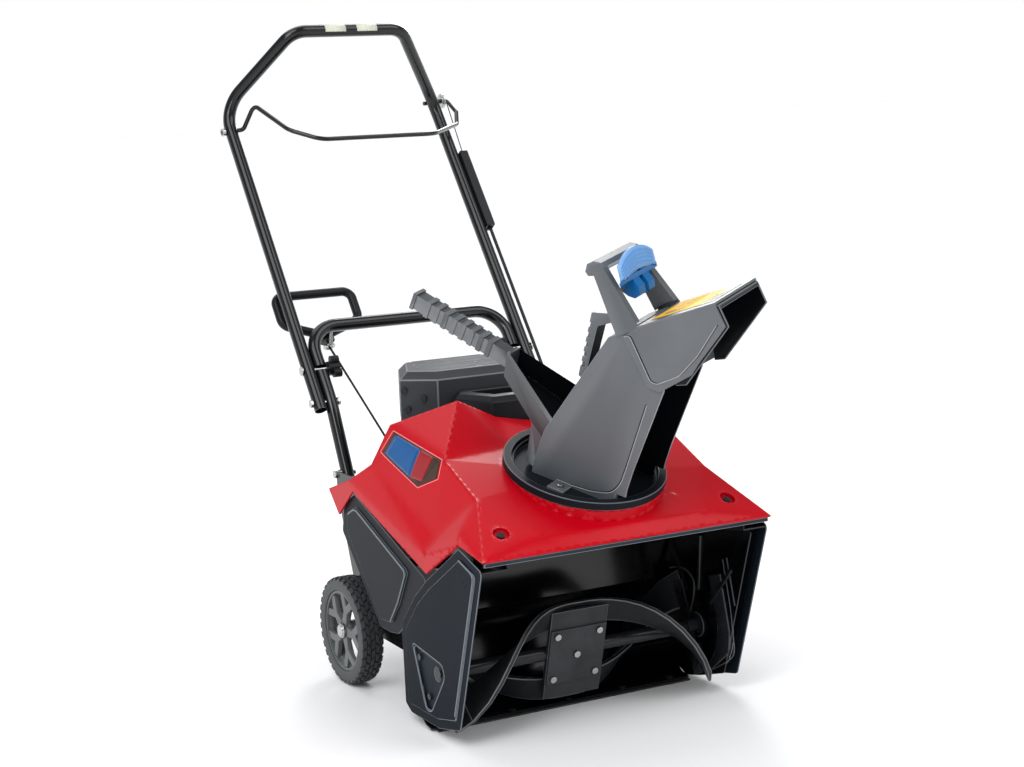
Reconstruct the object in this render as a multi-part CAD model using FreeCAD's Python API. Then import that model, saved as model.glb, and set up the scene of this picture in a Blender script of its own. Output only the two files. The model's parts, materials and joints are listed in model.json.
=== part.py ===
import FreeCAD, Part
import math
import os
from FreeCAD import Vector

# Single-stage snow blower. Millimetres, +Z up, ground at z = 0.
# The machine clears snow towards -Y. "right" and "left" are the operator's, who
# stands behind it and looks towards -Y: right is -X and left is +X.
# Shapes are built with y = 0 at the wheel axle and moved by AXLE_Y on export,
# so that the origin is at the middle of the whole machine, on the ground.

# ---------------------------------------------------------------- dimensions
AXLE_Y = 78.55

WHEEL_RADIUS = 89.0
WHEEL_OUTER_X = 254.0
TYRE_WIDTH = 38.0
RIM_RADIUS = 66.0
AXLE_RADIUS = 8.0
AXLE_Z = WHEEL_RADIUS

PLATE_X = 245.0
SHEET = 2.0
DRIVE_WALL_X = 222.0
COVER_X = 240.0
FRAME_X = 205.0

ROTOR_Y = -338.0
ROTOR_Z = 98.0
SHAFT_RADIUS = 11.0
BAND_RADIUS_MIDDLE = 82.0
BAND_RADIUS_END = 93.0
BAND_WIDTH = 38.0
BAND_END_EXTRA = 24.0
BAND_THICKNESS = 7.0
BAND_START_ANGLE = 104.0
BAND_TWIST = 0.00266
HOUSING_RADIUS = 102.0

TUBE_RADIUS = 11.1
TUBE_WALL = 1.6
LEG_X = 210.0
LOOP_X = 187.4
FOLD_Y = 147.0
FOLD_Z = 444.0
LEG_RUN = 0.6
LEG_RISE = 0.8
KNOB_DISTANCE = 64.0
BOLT_RADIUS = 4.0

RING_Y = -376.0
RING_Z = 396.0
RING_TILT = 19.3
RING_RADIUS = 112.0
CHUTE_TURN = 30.0
CHUTE_HALF = 62.0
CHUTE_WALL = 3.5
HINGE_Q = 100.0
HINGE_H = 222.0

CRANK_Y = -95.0
CRANK_Z = 235.0
BELT_X = 227.0
BELT_WIDTH = 8.0
CRANK_PULLEY = 24.0
ROTOR_PULLEY = 72.0
BELT_THICK = 6.0
BELT_GAP = 0.35

HOOD_THICK = 3.0


# ------------------------------------------------------------------- helpers
def block(x0, x1, y0, y1, z0, z1):
    return Part.makeBox(x1 - x0, y1 - y0, z1 - z0, Vector(x0, y0, z0))


def rod_x(x0, x1, y, z, radius):
    return Part.makeCylinder(radius, x1 - x0, Vector(x0, y, z), Vector(1, 0, 0))


def ring_x(x0, x1, y, z, outer, inner):
    return rod_x(x0, x1, y, z, outer).cut(rod_x(x0 - 1, x1 + 1, y, z, inner))


def rod_between(start, end, radius):
    axis = end - start
    return Part.makeCylinder(radius, axis.Length, start, axis)


def corner_arc(before, corner, after, radius):
    """Tangent points and middle of the arc that rounds one corner."""
    to_before = (before - corner).normalize()
    to_after = (after - corner).normalize()
    half = to_before.getAngle(to_after) / 2.0
    reach = radius / math.tan(half)
    centre_way = (to_before + to_after).normalize()
    centre = corner + centre_way * (radius / math.sin(half))
    return corner + to_before * reach, centre - centre_way * radius, corner + to_after * reach


def rounded_loop(points, radius):
    """Closed wire through coplanar points with every corner rounded."""
    edges = []
    count = len(points)
    arcs = [corner_arc(points[i - 1], points[i], points[(i + 1) % count], radius) for i in range(count)]
    for i in range(count):
        start, middle, end = arcs[i]
        edges.append(Part.Arc(start, middle, end).toShape())
        edges.append(Part.LineSegment(end, arcs[(i + 1) % count][0]).toShape())
    return Part.Wire(edges)


def route(points, radii):
    """Open wire of straight runs joined by tangent arcs."""
    edges = []
    last = points[0]
    for i in range(1, len(points) - 1):
        start, middle, end = corner_arc(points[i - 1], points[i], points[i + 1], radii[i - 1])
        edges.append(Part.LineSegment(last, start).toShape())
        edges.append(Part.Arc(start, middle, end).toShape())
        last = end
    edges.append(Part.LineSegment(last, points[-1]).toShape())
    return Part.Wire(edges)


def pipe(points, radii, radius):
    path = route(points, radii)
    circle = Part.Circle(points[0], points[1] - points[0], radius).toShape()
    return path.makePipeShell([Part.Wire([circle])], True, False)


def hollow_pipe(points, radii, radius, wall):
    return pipe(points, radii, radius).cut(pipe(points, radii, radius - wall))


def prism_x(outline, x0, x1, radius=0.0):
    """Outline of (y, z) points, extruded along X."""
    points = [Vector(x0, y, z) for y, z in outline]
    if radius:
        wire = rounded_loop(points, radius)
    else:
        wire = Part.makePolygon(points + [points[0]])
    return Part.Face(wire).extrude(Vector(x1 - x0, 0, 0))


def prism_z(outline, z0, z1, radius=0.0):
    """Outline of (x, y) points, extruded along Z."""
    points = [Vector(x, y, z0) for x, y in outline]
    if radius:
        wire = rounded_loop(points, radius)
    else:
        wire = Part.makePolygon(points + [points[0]])
    return Part.Face(wire).extrude(Vector(0, 0, z1 - z0))


def inset(outline, distance):
    """Outline moved inwards by a distance (outline of (a, b) points)."""
    face = Part.Face(Part.makePolygon([Vector(a, b, 0) for a, b in outline + outline[:1]]))
    wire = face.OuterWire.makeOffset2D(-distance, 2)
    return [(p.Point.x, p.Point.y) for p in wire.OrderedVertexes]


def mirror(shape):
    return shape.mirror(Vector(0, 0, 0), Vector(1, 0, 0))


def both_sides(shape):
    return Part.makeCompound([shape, mirror(shape)])


def fuse_all(shapes):
    result = shapes[0]
    for shape in shapes[1:]:
        result = result.fuse(shape)
    return result


def faceted_solid(corners, faces):
    """Closed solid from named corners and triangles or flat quads."""
    sides = []
    for names in faces:
        points = [corners[name] for name in names]
        sides.append(Part.Face(Part.makePolygon(points + [points[0]])))
    solid = Part.Solid(Part.Shell(sides))
    if solid.Volume < 0:
        solid.reverse()
    return solid


def facet_shell(corners, triangles, thickness):
    """Sheet of even thickness below an open surface of triangles."""
    normals = {name: Vector(0, 0, 0) for name in corners}
    for a, b, c in triangles:
        normal = (corners[b] - corners[a]).cross(corners[c] - corners[a])
        normal.normalize()
        for name in (a, b, c):
            normals[name] = normals[name] + normal
    solid_corners = {}
    for name, point in corners.items():
        solid_corners[(name, 0)] = point
        solid_corners[(name, 1)] = point - normals[name].normalize() * thickness
    faces = []
    open_edges = {}
    for a, b, c in triangles:
        faces.append([(a, 0), (b, 0), (c, 0)])
        faces.append([(c, 1), (b, 1), (a, 1)])
        for edge in ((a, b), (b, c), (c, a)):
            if (edge[1], edge[0]) in open_edges:
                del open_edges[(edge[1], edge[0])]
            else:
                open_edges[edge] = True
    for a, b in open_edges:
        faces.append([(b, 0), (a, 0), (a, 1)])
        faces.append([(b, 0), (a, 1), (b, 1)])
    return faceted_solid(solid_corners, faces)


def leg_point(x, distance, offset=0.0):
    """Point at a distance up the handle leg from the fold bolt, offset behind it."""
    y = FOLD_Y + LEG_RUN * distance + LEG_RISE * offset
    z = FOLD_Z + LEG_RISE * distance - LEG_RUN * offset
    return Vector(x, y, z)


def at_ring(shape, turn=CHUTE_TURN):
    """Place a shape drawn around the chute ring: local -Y is the throw, local Z the axis."""
    placed = shape.copy()
    placed.rotate(Vector(0, 0, 0), Vector(0, 0, 1), turn)
    placed.rotate(Vector(0, 0, 0), Vector(1, 0, 0), RING_TILT)
    placed.translate(Vector(0, RING_Y, RING_Z))
    return placed


def throw_side(points):
    """Chute side outline, given as (throw, height), as (y, z) points."""
    return [(-throw, height) for throw, height in points]


def tube_z(outer, inner, z0, z1):
    body = Part.makeCylinder(outer, z1 - z0, Vector(0, 0, z0))
    return body.cut(Part.makeCylinder(inner, z1 - z0 + 2, Vector(0, 0, z0 - 1)))


def largest(shape):
    """The biggest solid of a shape that a cut has left in pieces."""
    return sorted(shape.Solids, key=lambda piece: piece.Volume)[-1]


def hex_head_x(x0, x1, y, z, radius):
    points = []
    for i in range(6):
        angle = math.radians(60 * i)
        points.append((y + radius * math.cos(angle), z + radius * math.sin(angle)))
    return prism_x(points, x0, x1)


NODES = {}

# ------------------------------------------------------- side plates, housing
PLATE_OUTLINE = [(-411, 30), (-499, 286), (-429, 307), (-318, 238), (-275, 205),
                 (-230, 158), (-224, 136), (-226, 26), (-246, 15), (-341, 15)]
SLOT_OUTLINE = [(-266, 128), (-304, 38), (-320, 38), (-368, 100), (-362, 116)]
PANEL_RAISE = 4.0


def pressed_plate(side_sign, with_slot):
    """Sheet steel side plate: a raised panel, and a flange along the front edge."""
    plate = prism_x(PLATE_OUTLINE, PLATE_X, PLATE_X + SHEET, 9)
    panel_outline = inset(PLATE_OUTLINE, 15)
    raised = prism_x(panel_outline, PLATE_X, PLATE_X + PANEL_RAISE, 7)
    plate = plate.fuse(raised)
    plate = plate.cut(prism_x(inset(PLATE_OUTLINE, 18), PLATE_X - 1, PLATE_X + PANEL_RAISE - SHEET, 6))
    if with_slot:
        plate = plate.cut(prism_x(SLOT_OUTLINE, PLATE_X - 1, PLATE_X + 6, 6))
    return plate if side_sign > 0 else mirror(plate)


def housing_profile():
    """Side view of the scoop sheet, from the scraper lip up to the front of the roof."""
    inner = HOUSING_RADIUS
    outer = HOUSING_RADIUS + SHEET

    def on_arc(radius, degrees):
        angle = math.radians(degrees)
        return Vector(0, ROTOR_Y + radius * math.cos(angle), ROTOR_Z + radius * math.sin(angle))

    start, top = -62, 40
    middle = (start + top) / 2.0
    lip = [Vector(0, -308, 3), Vector(0, -308, 5)]
    roof_back = [Vector(0, -262, 384), Vector(0, -259, 386)]
    roof_front = [Vector(0, -495, 297), Vector(0, -495.7, 299)]
    edges = [
        Part.LineSegment(lip[0], lip[1]).toShape(),
        Part.LineSegment(lip[1], on_arc(inner, start)).toShape(),
        Part.Arc(on_arc(inner, start), on_arc(inner, middle), on_arc(inner, top)).toShape(),
        Part.LineSegment(on_arc(inner, top), roof_back[0]).toShape(),
        Part.LineSegment(roof_back[0], roof_front[0]).toShape(),
        Part.LineSegment(roof_front[0], roof_front[1]).toShape(),
        Part.LineSegment(roof_front[1], roof_back[1]).toShape(),
        Part.LineSegment(roof_back[1], on_arc(outer, top)).toShape(),
        Part.Arc(on_arc(outer, top), on_arc(outer, middle), on_arc(outer, start)).toShape(),
        Part.LineSegment(on_arc(outer, start), lip[0]).toShape(),
    ]
    return Part.Face(Part.Wire(edges))


ROOF_HALF = 205.0
LEDGE = [(-497, 283), (-262, 247), (-262, 249), (-497, 285)]
ROOF_SIDE = [(-497, 284), (-262, 248), (-262, 384), (-495, 297)]
profile = housing_profile()
profile.translate(Vector(-PLATE_X + 0.5, 0, 0))
housing = profile.extrude(Vector(PLATE_X - 0.5 + DRIVE_WALL_X, 0, 0))
housing = housing.cut(both_sides(block(ROOF_HALF, PLATE_X + 1, -520, -200, 249, 400)))
for sign in (-1, 1):
    ledge = prism_x(LEDGE, ROOF_HALF - 2, PLATE_X - 0.5)
    side = prism_x(ROOF_SIDE, ROOF_HALF - 2, ROOF_HALF)
    if sign < 0:
        ledge = mirror(ledge)
        side = mirror(side)
    housing = housing.fuse(ledge).fuse(side)
housing = housing.cut(both_sides(block(COVER_X - 0.5, PLATE_X + 1, -312, -200, 165, 262)))
housing = housing.cut(at_ring(Part.makeCylinder(RING_RADIUS + 6, 140, Vector(0, 0, -100))))

right_plate = pressed_plate(-1, True)
left_plate = pressed_plate(1, False)
NODES["side_plate_right"] = right_plate
NODES["side_plate_left"] = left_plate

# wall between the rotor and the belt, on the drive side
WALL_OUTLINE = [(-408, 34), (-490, 280), (-260, 245), (-250, 175), (-229, 98), (-241, 50), (-266, 20),
                (-300, 5), (-341, 14)]
drive_wall = prism_x(WALL_OUTLINE, DRIVE_WALL_X, DRIVE_WALL_X + SHEET, 5)
drive_wall = drive_wall.cut(rod_x(200, 240, ROTOR_Y, ROTOR_Z, 20))
RIB_ANGLES = (60, 96, 132)
for degrees in RIB_ANGLES:
    angle = math.radians(degrees)
    start = Vector(DRIVE_WALL_X - 1.5, ROTOR_Y + 60 * math.cos(angle), ROTOR_Z + 60 * math.sin(angle))
    end = Vector(DRIVE_WALL_X - 1.5, ROTOR_Y + 150 * math.cos(angle), ROTOR_Z + 150 * math.sin(angle))
    rib = rod_between(start, end, 4).common(block(DRIVE_WALL_X - 6, DRIVE_WALL_X, -520, -200, 0, 400))
    drive_wall = drive_wall.fuse(rib)
housing = housing.fuse(drive_wall)

# ------------------------------------------------------------------- scraper
scraper = block(-236, 219, -316, -288, 0, 3)
SCRAPER_BOLTS_X = (-200, -100, 0, 100, 190)
scraper_bolts = []
for x in SCRAPER_BOLTS_X:
    shank = Part.makeCylinder(3, 6.5, Vector(x, -299, 0.6))
    head = Part.makeCylinder(6, 2.2, Vector(x, -299, 5))
    bolt = shank.fuse(head)
    scraper = scraper.cut(Part.makeCylinder(3, 20, Vector(x, -299, -5)))
    housing = housing.cut(Part.makeCylinder(3, 20, Vector(x, -299, -5)))
    scraper_bolts.append(largest(bolt.cut(housing)))
NODES["scraper_bar"] = scraper

# ----------------------------------------------------------------- front lip
NODES["front_lip"] = prism_x([(-504, 293), (-504, 299.5), (-498, 299.5), (-498, 293)],
                             -PLATE_X + 1, PLATE_X - 1)

# ---------------------------------------------------------------------- hood
HOOD_POINTS = {
    "front": (248, -506, 302), "band": (139, -490, 321), "shoulder": (200, -400, 369),
    "valley": (232, -402, 326), "peak": (248, -430, 313), "notch": (231, -330, 304),
    "ridge": (200, -300, 413), "back": (200, -113, 441), "waist": (232, -105, 380),
    "flare": (247.5, -50, 348), "flare_end": (247.5, -317, 277), "tip": (248, -321, 249),
    "arch": (248, -62, 331), "wing": (248, 33, 321), "wing_low": (248, -4, 284),
    "crown": (126, -206, 483), "cutout": (60, -206, 450), "saddle": (80, -277, 415.5),
}
HOOD_MIDDLE = {"lip_mid": (0, -506, 302), "band_mid": (0, -490, 321),
               "bowl_mid": (0, -372, 380), "back_mid": (0, -206, 438),
               "rim_mid": (0, -251.5, 424)}
HOOD_FACES = [
    ("lip_mid", "band_mid", "band"), ("lip_mid", "band", "front"), ("front", "band", "shoulder"),
    ("front", "shoulder", "valley"), ("front", "valley", "peak"),
    ("band_mid", "bowl_mid", "band"), ("band", "bowl_mid", "shoulder"),
    ("shoulder", "bowl_mid", "ridge"), ("ridge", "bowl_mid", "saddle"), ("ridge", "saddle", "crown"),
    ("saddle", "cutout", "crown"), ("bowl_mid", "rim_mid", "saddle"), ("saddle", "rim_mid", "cutout"),
    ("rim_mid", "back_mid", "cutout"), ("ridge", "crown", "back"),
    ("shoulder", "notch", "valley"), ("shoulder", "ridge", "notch"),
    ("ridge", "waist", "notch"), ("ridge", "back", "waist"),
    ("peak", "valley", "flare_end"), ("valley", "notch", "flare_end"), ("peak", "flare_end", "tip"),
    ("notch", "waist", "flare_end"), ("waist", "flare", "flare_end"),
    ("flare", "arch", "flare_end"), ("flare_end", "arch", "tip"),
    ("flare", "wing", "arch"), ("wing", "wing_low", "arch"),
]


def hood_shell():
    corners = {name: Vector(*point) for name, point in HOOD_MIDDLE.items()}
    triangles = []
    for sign in (1, -1):
        for name, (x, y, z) in HOOD_POINTS.items():
            corners[(name, sign)] = Vector(sign * x, y, z)
        for face in HOOD_FACES:
            names = [name if name in HOOD_MIDDLE else (name, sign) for name in face]
            triangles.append(tuple(names if sign < 0 else names[::-1]))
    return facet_shell(corners, triangles, HOOD_THICK)


NECK_OUTER = RING_RADIUS + 11
NECK_INNER = RING_RADIUS + 7.5
hood = hood_shell()
neck = at_ring(tube_z(NECK_OUTER, NECK_INNER, -34, -13.5))
hood = hood.cut(at_ring(Part.makeCylinder(NECK_INNER, 160, Vector(0, 0, -80))))
hood = hood.fuse(neck)

HOOD_SCREW = Vector(196, -466, 329.5)
SCREW_AXIS = Vector(0.075, -0.508, 0.858).normalize()


def hood_screw_rod(start, end, radius):
    """Cylinder on the screw axis between two depths below the hood surface."""
    return Part.makeCylinder(radius, end - start, HOOD_SCREW - SCREW_AXIS * start, SCREW_AXIS * -1)


screw_cup = hood_screw_rod(0.4, 8, 15).cut(hood_screw_rod(-10, 5, 12.5)).cut(hood_screw_rod(0, 9, 2.5))
hood = hood.cut(both_sides(hood_screw_rod(-10, 5, 12.5)))
hood = hood.cut(both_sides(hood_screw_rod(0, 9, 2.5))).fuse(both_sides(screw_cup))
hood_screw = hood_screw_rod(2, 5, 6).fuse(hood_screw_rod(5, 18, 2.5))
hood_boss = hood_screw_rod(8, 24, 9)
housing = housing.fuse(both_sides(hood_boss)).cut(both_sides(hood_screw_rod(0, 18, 2.5)))
NODES["hood"] = hood

# ------------------------------------------------------------- chute ring
ring = tube_z(RING_RADIUS + 6, RING_RADIUS, -54, 0)
rim = tube_z(RING_RADIUS + 13, RING_RADIUS, -13, 0)
ring = ring.fuse(rim)
ledge = tube_z(RING_RADIUS + 1, RING_RADIUS - 10, -40, -34.5)
ring = at_ring(ring.fuse(ledge), 0)
NODES["auger_housing"] = largest(housing.cut(ring))
NODES["chute_ring"] = ring
NODES["hood"] = NODES["hood"].cut(ring)

# ---------------------------------------------------------------- side covers
COVER_OUTLINE = [(-2, 256), (-15, 304), (-56, 325), (-308, 236), (-290, 206), (-232, 150),
                 (-200, 128), (-171, 124), (-134, 125)]


COVER_PANEL = [(-28, 262), (-34, 292), (-62, 305), (-246, 236), (-212, 180), (-178, 142), (-143, 140)]


def side_cover(rim_from_y):
    """Moulded cover: outer wall, raised panel and an edge turned inwards behind rim_from_y."""
    wall = prism_x(COVER_OUTLINE, COVER_X, COVER_X + 2.5, 8)
    rim = prism_x(COVER_OUTLINE, COVER_X - 14, COVER_X, 8)
    rim = rim.cut(prism_x(inset(COVER_OUTLINE, 3), COVER_X - 15, COVER_X + 1, 6))
    rim = rim.common(block(COVER_X - 20, COVER_X, rim_from_y, 0, 0, 400))
    panel = prism_x(COVER_PANEL, COVER_X + 2, COVER_X + 6, 6)
    hollow = prism_x(inset(COVER_PANEL, 3), COVER_X - 1, COVER_X + 4, 5)
    return wall.fuse(rim).fuse(panel).cut(hollow)


NODES["side_covers"] = Part.makeCompound([side_cover(-110), mirror(side_cover(-245))])

# ------------------------------------------------------------- frame and axle
FRAME_OUTLINE = [(-228, 80), (-228, 262), (-60, 336), (92, 336), (92, 300), (26, 120), (26, 70),
                 (-26, 70), (-60, 84)]
LOOP_BOLTS = [(79, 300), (93, 330)]
frame_plate = prism_x(FRAME_OUTLINE, FRAME_X, FRAME_X + 3, 8)
frame_plate = frame_plate.cut(rod_x(200, 220, 0, AXLE_Z, AXLE_RADIUS))
frame_plate = frame_plate.cut(rod_x(200, 220, CRANK_Y, CRANK_Z, 16))
for y, z in LOOP_BOLTS:
    frame_plate = frame_plate.cut(rod_x(200, 220, y, z, BOLT_RADIUS))
DECK_SIDE = [(-222, 148), (14, 148), (17, 148), (73, 295), (70, 296), (16, 151), (-222, 151)]
deck_notches = both_sides(block(175, 206, 20, 80, 140, 300))
NODES["engine_deck"] = prism_x(DECK_SIDE, -FRAME_X, FRAME_X).cut(deck_notches)
axle_collar = rod_x(FRAME_X + 3, WHEEL_OUTER_X - TYRE_WIDTH + 2.8, 0, AXLE_Z, AXLE_RADIUS + 3)
axle = rod_x(-253, 253, 0, AXLE_Z, AXLE_RADIUS)
NODES["axle"] = axle.fuse(axle_collar).fuse(mirror(axle_collar))

# --------------------------------------------------------------------- wheels
SPOKES = 5


def wheel_rim():
    """Moulded rim with five forked spokes, drawn around the X axis at the origin."""
    inner_x = WHEEL_OUTER_X - TYRE_WIDTH + 2
    outer_x = WHEEL_OUTER_X - 3
    barrel = ring_x(inner_x, outer_x, 0, 0, RIM_RADIUS, RIM_RADIUS - 4)
    hub = rod_x(inner_x + 1, outer_x - 3, 0, 0, 15)
    disc = rod_x(outer_x - 11, outer_x - 6, 0, 0, RIM_RADIUS - 2)
    for i in range(SPOKES):
        turn = 360.0 / SPOKES * i
        large = prism_x([(18, -7), (18, 7), (50, 25), (58, 16), (60, 0), (58, -16), (50, -25)],
                        outer_x - 20, outer_x, 3)
        large.rotate(Vector(0, 0, 0), Vector(1, 0, 0), turn)
        small = prism_x([(37, 0), (57, 9), (59, 0), (57, -9)], outer_x - 20, outer_x, 1.5)
        small.rotate(Vector(0, 0, 0), Vector(1, 0, 0), turn + 180.0 / SPOKES)
        disc = disc.cut(large).cut(small)
    rim = barrel.fuse(disc).fuse(hub)
    return rim.cut(rod_x(200, 260, 0, 0, AXLE_RADIUS + 0.05))


def tyre():
    x0 = WHEEL_OUTER_X - TYRE_WIDTH
    x1 = WHEEL_OUTER_X
    solid = ring_x(x0, x1, 0, 0, WHEEL_RADIUS, RIM_RADIUS)
    outer_edges = []
    for edge in solid.Edges:
        is_circle = isinstance(edge.Curve, Part.Circle)
        if is_circle and edge.Curve.Radius > WHEEL_RADIUS - 1:
            outer_edges.append(edge)
    return solid.makeFillet(6, outer_edges)


def at_axle(shape):
    moved = shape.copy()
    moved.translate(Vector(0, 0, AXLE_Z))
    return moved


NODES["wheel_rim_left"] = at_axle(wheel_rim())
NODES["wheel_rim_right"] = mirror(NODES["wheel_rim_left"])
NODES["tyre_left"] = at_axle(tyre())
NODES["tyre_right"] = mirror(NODES["tyre_left"])
axle_cap = rod_x(253, 256, 0, AXLE_Z, 10).fuse(rod_x(248.2, 253.5, 0, AXLE_Z, 12))
axle_cap = axle_cap.cut(NODES["axle"])
NODES["axle_caps"] = both_sides(axle_cap)

# ---------------------------------------------------------------------- rotor
ROTOR_LEFT_END = DRIVE_WALL_X - 7
ROTOR_RIGHT_END = -PLATE_X + 4
ROTOR_MIDDLE = (ROTOR_LEFT_END + ROTOR_RIGHT_END) / 2.0
ROTOR_HALF = (ROTOR_LEFT_END - ROTOR_RIGHT_END) / 2.0
rotor_shaft = rod_x(-PLATE_X + 0.5, BELT_X + BELT_WIDTH + 2, ROTOR_Y, ROTOR_Z, SHAFT_RADIUS)


def rotor_band(half_turn):
    """Rubber auger band: a chevron strip wound round the shaft from end to end."""
    corners = {}
    faces = []
    steps = 24
    for i in range(steps + 1):
        share = 2.0 * i / steps - 1.0
        x = ROTOR_MIDDLE + share * ROTOR_HALF
        reach = abs(share) * ROTOR_HALF
        angle = math.radians(BAND_START_ANGLE + BAND_TWIST * reach ** 2 + half_turn)
        outer = BAND_RADIUS_MIDDLE + (BAND_RADIUS_END - BAND_RADIUS_MIDDLE) * abs(share)
        inner = outer - BAND_WIDTH - BAND_END_EXTRA * share ** 2
        slope = math.atan(math.radians(2 * BAND_TWIST * reach) * outer)
        along = BAND_THICKNESS / 2.0 * math.sin(slope) * (1 if share > 0 else -1)
        across = BAND_THICKNESS / 2.0 * math.cos(slope)
        for ring_name, radius in (("outer", outer), ("inner", inner)):
            for face_name, side in (("a", 1), ("b", -1)):
                swing = angle + side * across / radius
                px = x - side * along
                px = min(max(px, ROTOR_RIGHT_END), ROTOR_LEFT_END)
                y = ROTOR_Y + radius * math.cos(swing)
                z = ROTOR_Z + radius * math.sin(swing)
                corners[(i, ring_name, face_name)] = Vector(px, y, z)
    order = [("outer", "a"), ("outer", "b"), ("inner", "b"), ("inner", "a")]
    for i in range(steps):
        for k in range(4):
            first = order[k]
            second = order[(k + 1) % 4]
            faces.append([(i,) + first, (i,) + second, (i + 1,) + second])
            faces.append([(i,) + first, (i + 1,) + second, (i + 1,) + first])
    for i in (0, steps):
        names = [(i,) + item for item in order]
        faces.append([names[0], names[1], names[2]])
        faces.append([names[0], names[2], names[3]])
    return faceted_solid(corners, faces)


band_upper = rotor_band(0)
band_lower = rotor_band(180)
END_ANGLE = BAND_START_ANGLE + BAND_TWIST * ROTOR_HALF ** 2


def end_arm(x0):
    """Bar across each shaft end that carries the ends of both bands."""
    bar = block(x0, x0 + 3, ROTOR_Y - 76, ROTOR_Y + 76, ROTOR_Z - 13, ROTOR_Z + 13)
    bar.rotate(Vector(0, ROTOR_Y, ROTOR_Z), Vector(1, 0, 0), END_ANGLE + 6)
    hub = rod_x(x0 - 6, x0 + 9, ROTOR_Y, ROTOR_Z, 17)
    return largest(bar.fuse(hub).cut(rotor_shaft).cut(band_upper).cut(band_lower))


NODES["rotor_shaft"] = rotor_shaft
PADDLE_TILT = 15.0


def on_paddle(shape):
    """Turn a shape drawn upright at the shaft's middle to the paddle's rest angle."""
    placed = shape.copy()
    placed.rotate(Vector(0, ROTOR_Y, ROTOR_Z), Vector(1, 0, 0), PADDLE_TILT)
    placed.translate(Vector(ROTOR_MIDDLE, 0, 0))
    return placed


paddle = block(-50, 50, -351, -344, ROTOR_Z - 74, ROTOR_Z + 76)
paddle = on_paddle(paddle).cut(rod_x(-90, 60, ROTOR_Y, ROTOR_Z, SHAFT_RADIUS))
band_upper = band_upper.cut(rotor_shaft)
band_lower = band_lower.cut(rotor_shaft)
paddle = paddle.cut(band_upper).cut(band_lower)
NODES["rotor_bands"] = Part.makeCompound([band_upper, band_lower])
NODES["rotor_center_paddle"] = largest(paddle)
NODES["rotor_arms"] = Part.makeCompound([end_arm(ROTOR_RIGHT_END + 9), end_arm(ROTOR_LEFT_END - 14)])
rotor_plate = block(-49, 49, -354, -351, ROTOR_Z - 48, ROTOR_Z + 46)
ROTOR_BOLTS = [(-38, 36), (36, 36), (0, 0), (-38, -38), (36, -36)]
rotor_bolts = []
for x, dz in ROTOR_BOLTS:
    head = Part.makeCylinder(5.5, 4, Vector(x, -358, ROTOR_Z + dz), Vector(0, 1, 0))
    rotor_bolts.append(on_paddle(head))
rotor_plate = on_paddle(rotor_plate)
NODES["rotor_plate"] = largest(rotor_plate.cut(band_upper).cut(band_lower).cut(rotor_shaft))
NODES["rotor_bolts"] = Part.makeCompound(rotor_bolts)

# bearings: a bracket behind the slot of the right plate, a flange on the drive wall
bearing_right = prism_x([(-262, 132), (-300, 30), (-330, 30), (-376, 96), (-366, 124)],
                        -PLATE_X + 0.5, -PLATE_X + 3.5, 8)
bearing_right = bearing_right.fuse(rod_x(-PLATE_X + 0.5, -PLATE_X + 6, ROTOR_Y, ROTOR_Z, 19))
bearing_right = bearing_right.cut(rod_x(-260, -200, ROTOR_Y, ROTOR_Z, SHAFT_RADIUS + 0.05))
bearing_left = rod_x(DRIVE_WALL_X - 3, DRIVE_WALL_X + 3.1, ROTOR_Y, ROTOR_Z, 20)
bearing_left = bearing_left.cut(rod_x(200, 240, ROTOR_Y, ROTOR_Z, SHAFT_RADIUS + 0.05))
NODES["rotor_bearings"] = Part.makeCompound([bearing_right, bearing_left])

SLOT_BOLTS = [(-283, 112), (-312, 57), (-350, 102)]
slot_bolts = []
for y, z in SLOT_BOLTS:
    slot_bolts.append(hex_head_x(-PLATE_X - 3, -PLATE_X + 0.5, y, z, 5.5))

# ----------------------------------------------------------------- belt drive
def pulley(y, z, radius, bore):
    """Flat pulley with two flanges; the belt lies on it with a small gap."""
    x0 = BELT_X - 1.5
    x1 = BELT_X + BELT_WIDTH + 1.5
    wheel = rod_x(x0, x1, y, z, radius + BELT_THICK + 1)
    groove = ring_x(BELT_X - BELT_GAP, BELT_X + BELT_WIDTH + BELT_GAP, y, z, radius + 20, radius - BELT_GAP)
    return wheel.cut(groove).cut(rod_x(x0 - 5, x1 + 5, y, z, bore))


def belt_loop(offset):
    """Outline around both pulleys at a distance outside their running surface."""
    span_y = CRANK_Y - ROTOR_Y
    span_z = CRANK_Z - ROTOR_Z
    span = math.hypot(span_y, span_z)
    lean = math.atan2(span_z, span_y)
    spread = math.acos((ROTOR_PULLEY - CRANK_PULLEY) / span)

    def point(y, z, radius, angle):
        return Vector(0, y + radius * math.cos(angle), z + radius * math.sin(angle))

    big = ROTOR_PULLEY + offset
    small = CRANK_PULLEY + offset
    high = lean + spread
    low = lean - spread
    edges = [
        Part.Arc(point(ROTOR_Y, ROTOR_Z, big, high), point(ROTOR_Y, ROTOR_Z, big, lean + math.pi),
                 point(ROTOR_Y, ROTOR_Z, big, low)).toShape(),
        Part.LineSegment(point(ROTOR_Y, ROTOR_Z, big, low), point(CRANK_Y, CRANK_Z, small, low)).toShape(),
        Part.Arc(point(CRANK_Y, CRANK_Z, small, low), point(CRANK_Y, CRANK_Z, small, lean),
                 point(CRANK_Y, CRANK_Z, small, high)).toShape(),
        Part.LineSegment(point(CRANK_Y, CRANK_Z, small, high), point(ROTOR_Y, ROTOR_Z, big, high)).toShape(),
    ]
    face = Part.Face(Part.Wire(edges))
    face.translate(Vector(BELT_X, 0, 0))
    return face.extrude(Vector(BELT_WIDTH, 0, 0))


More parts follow.
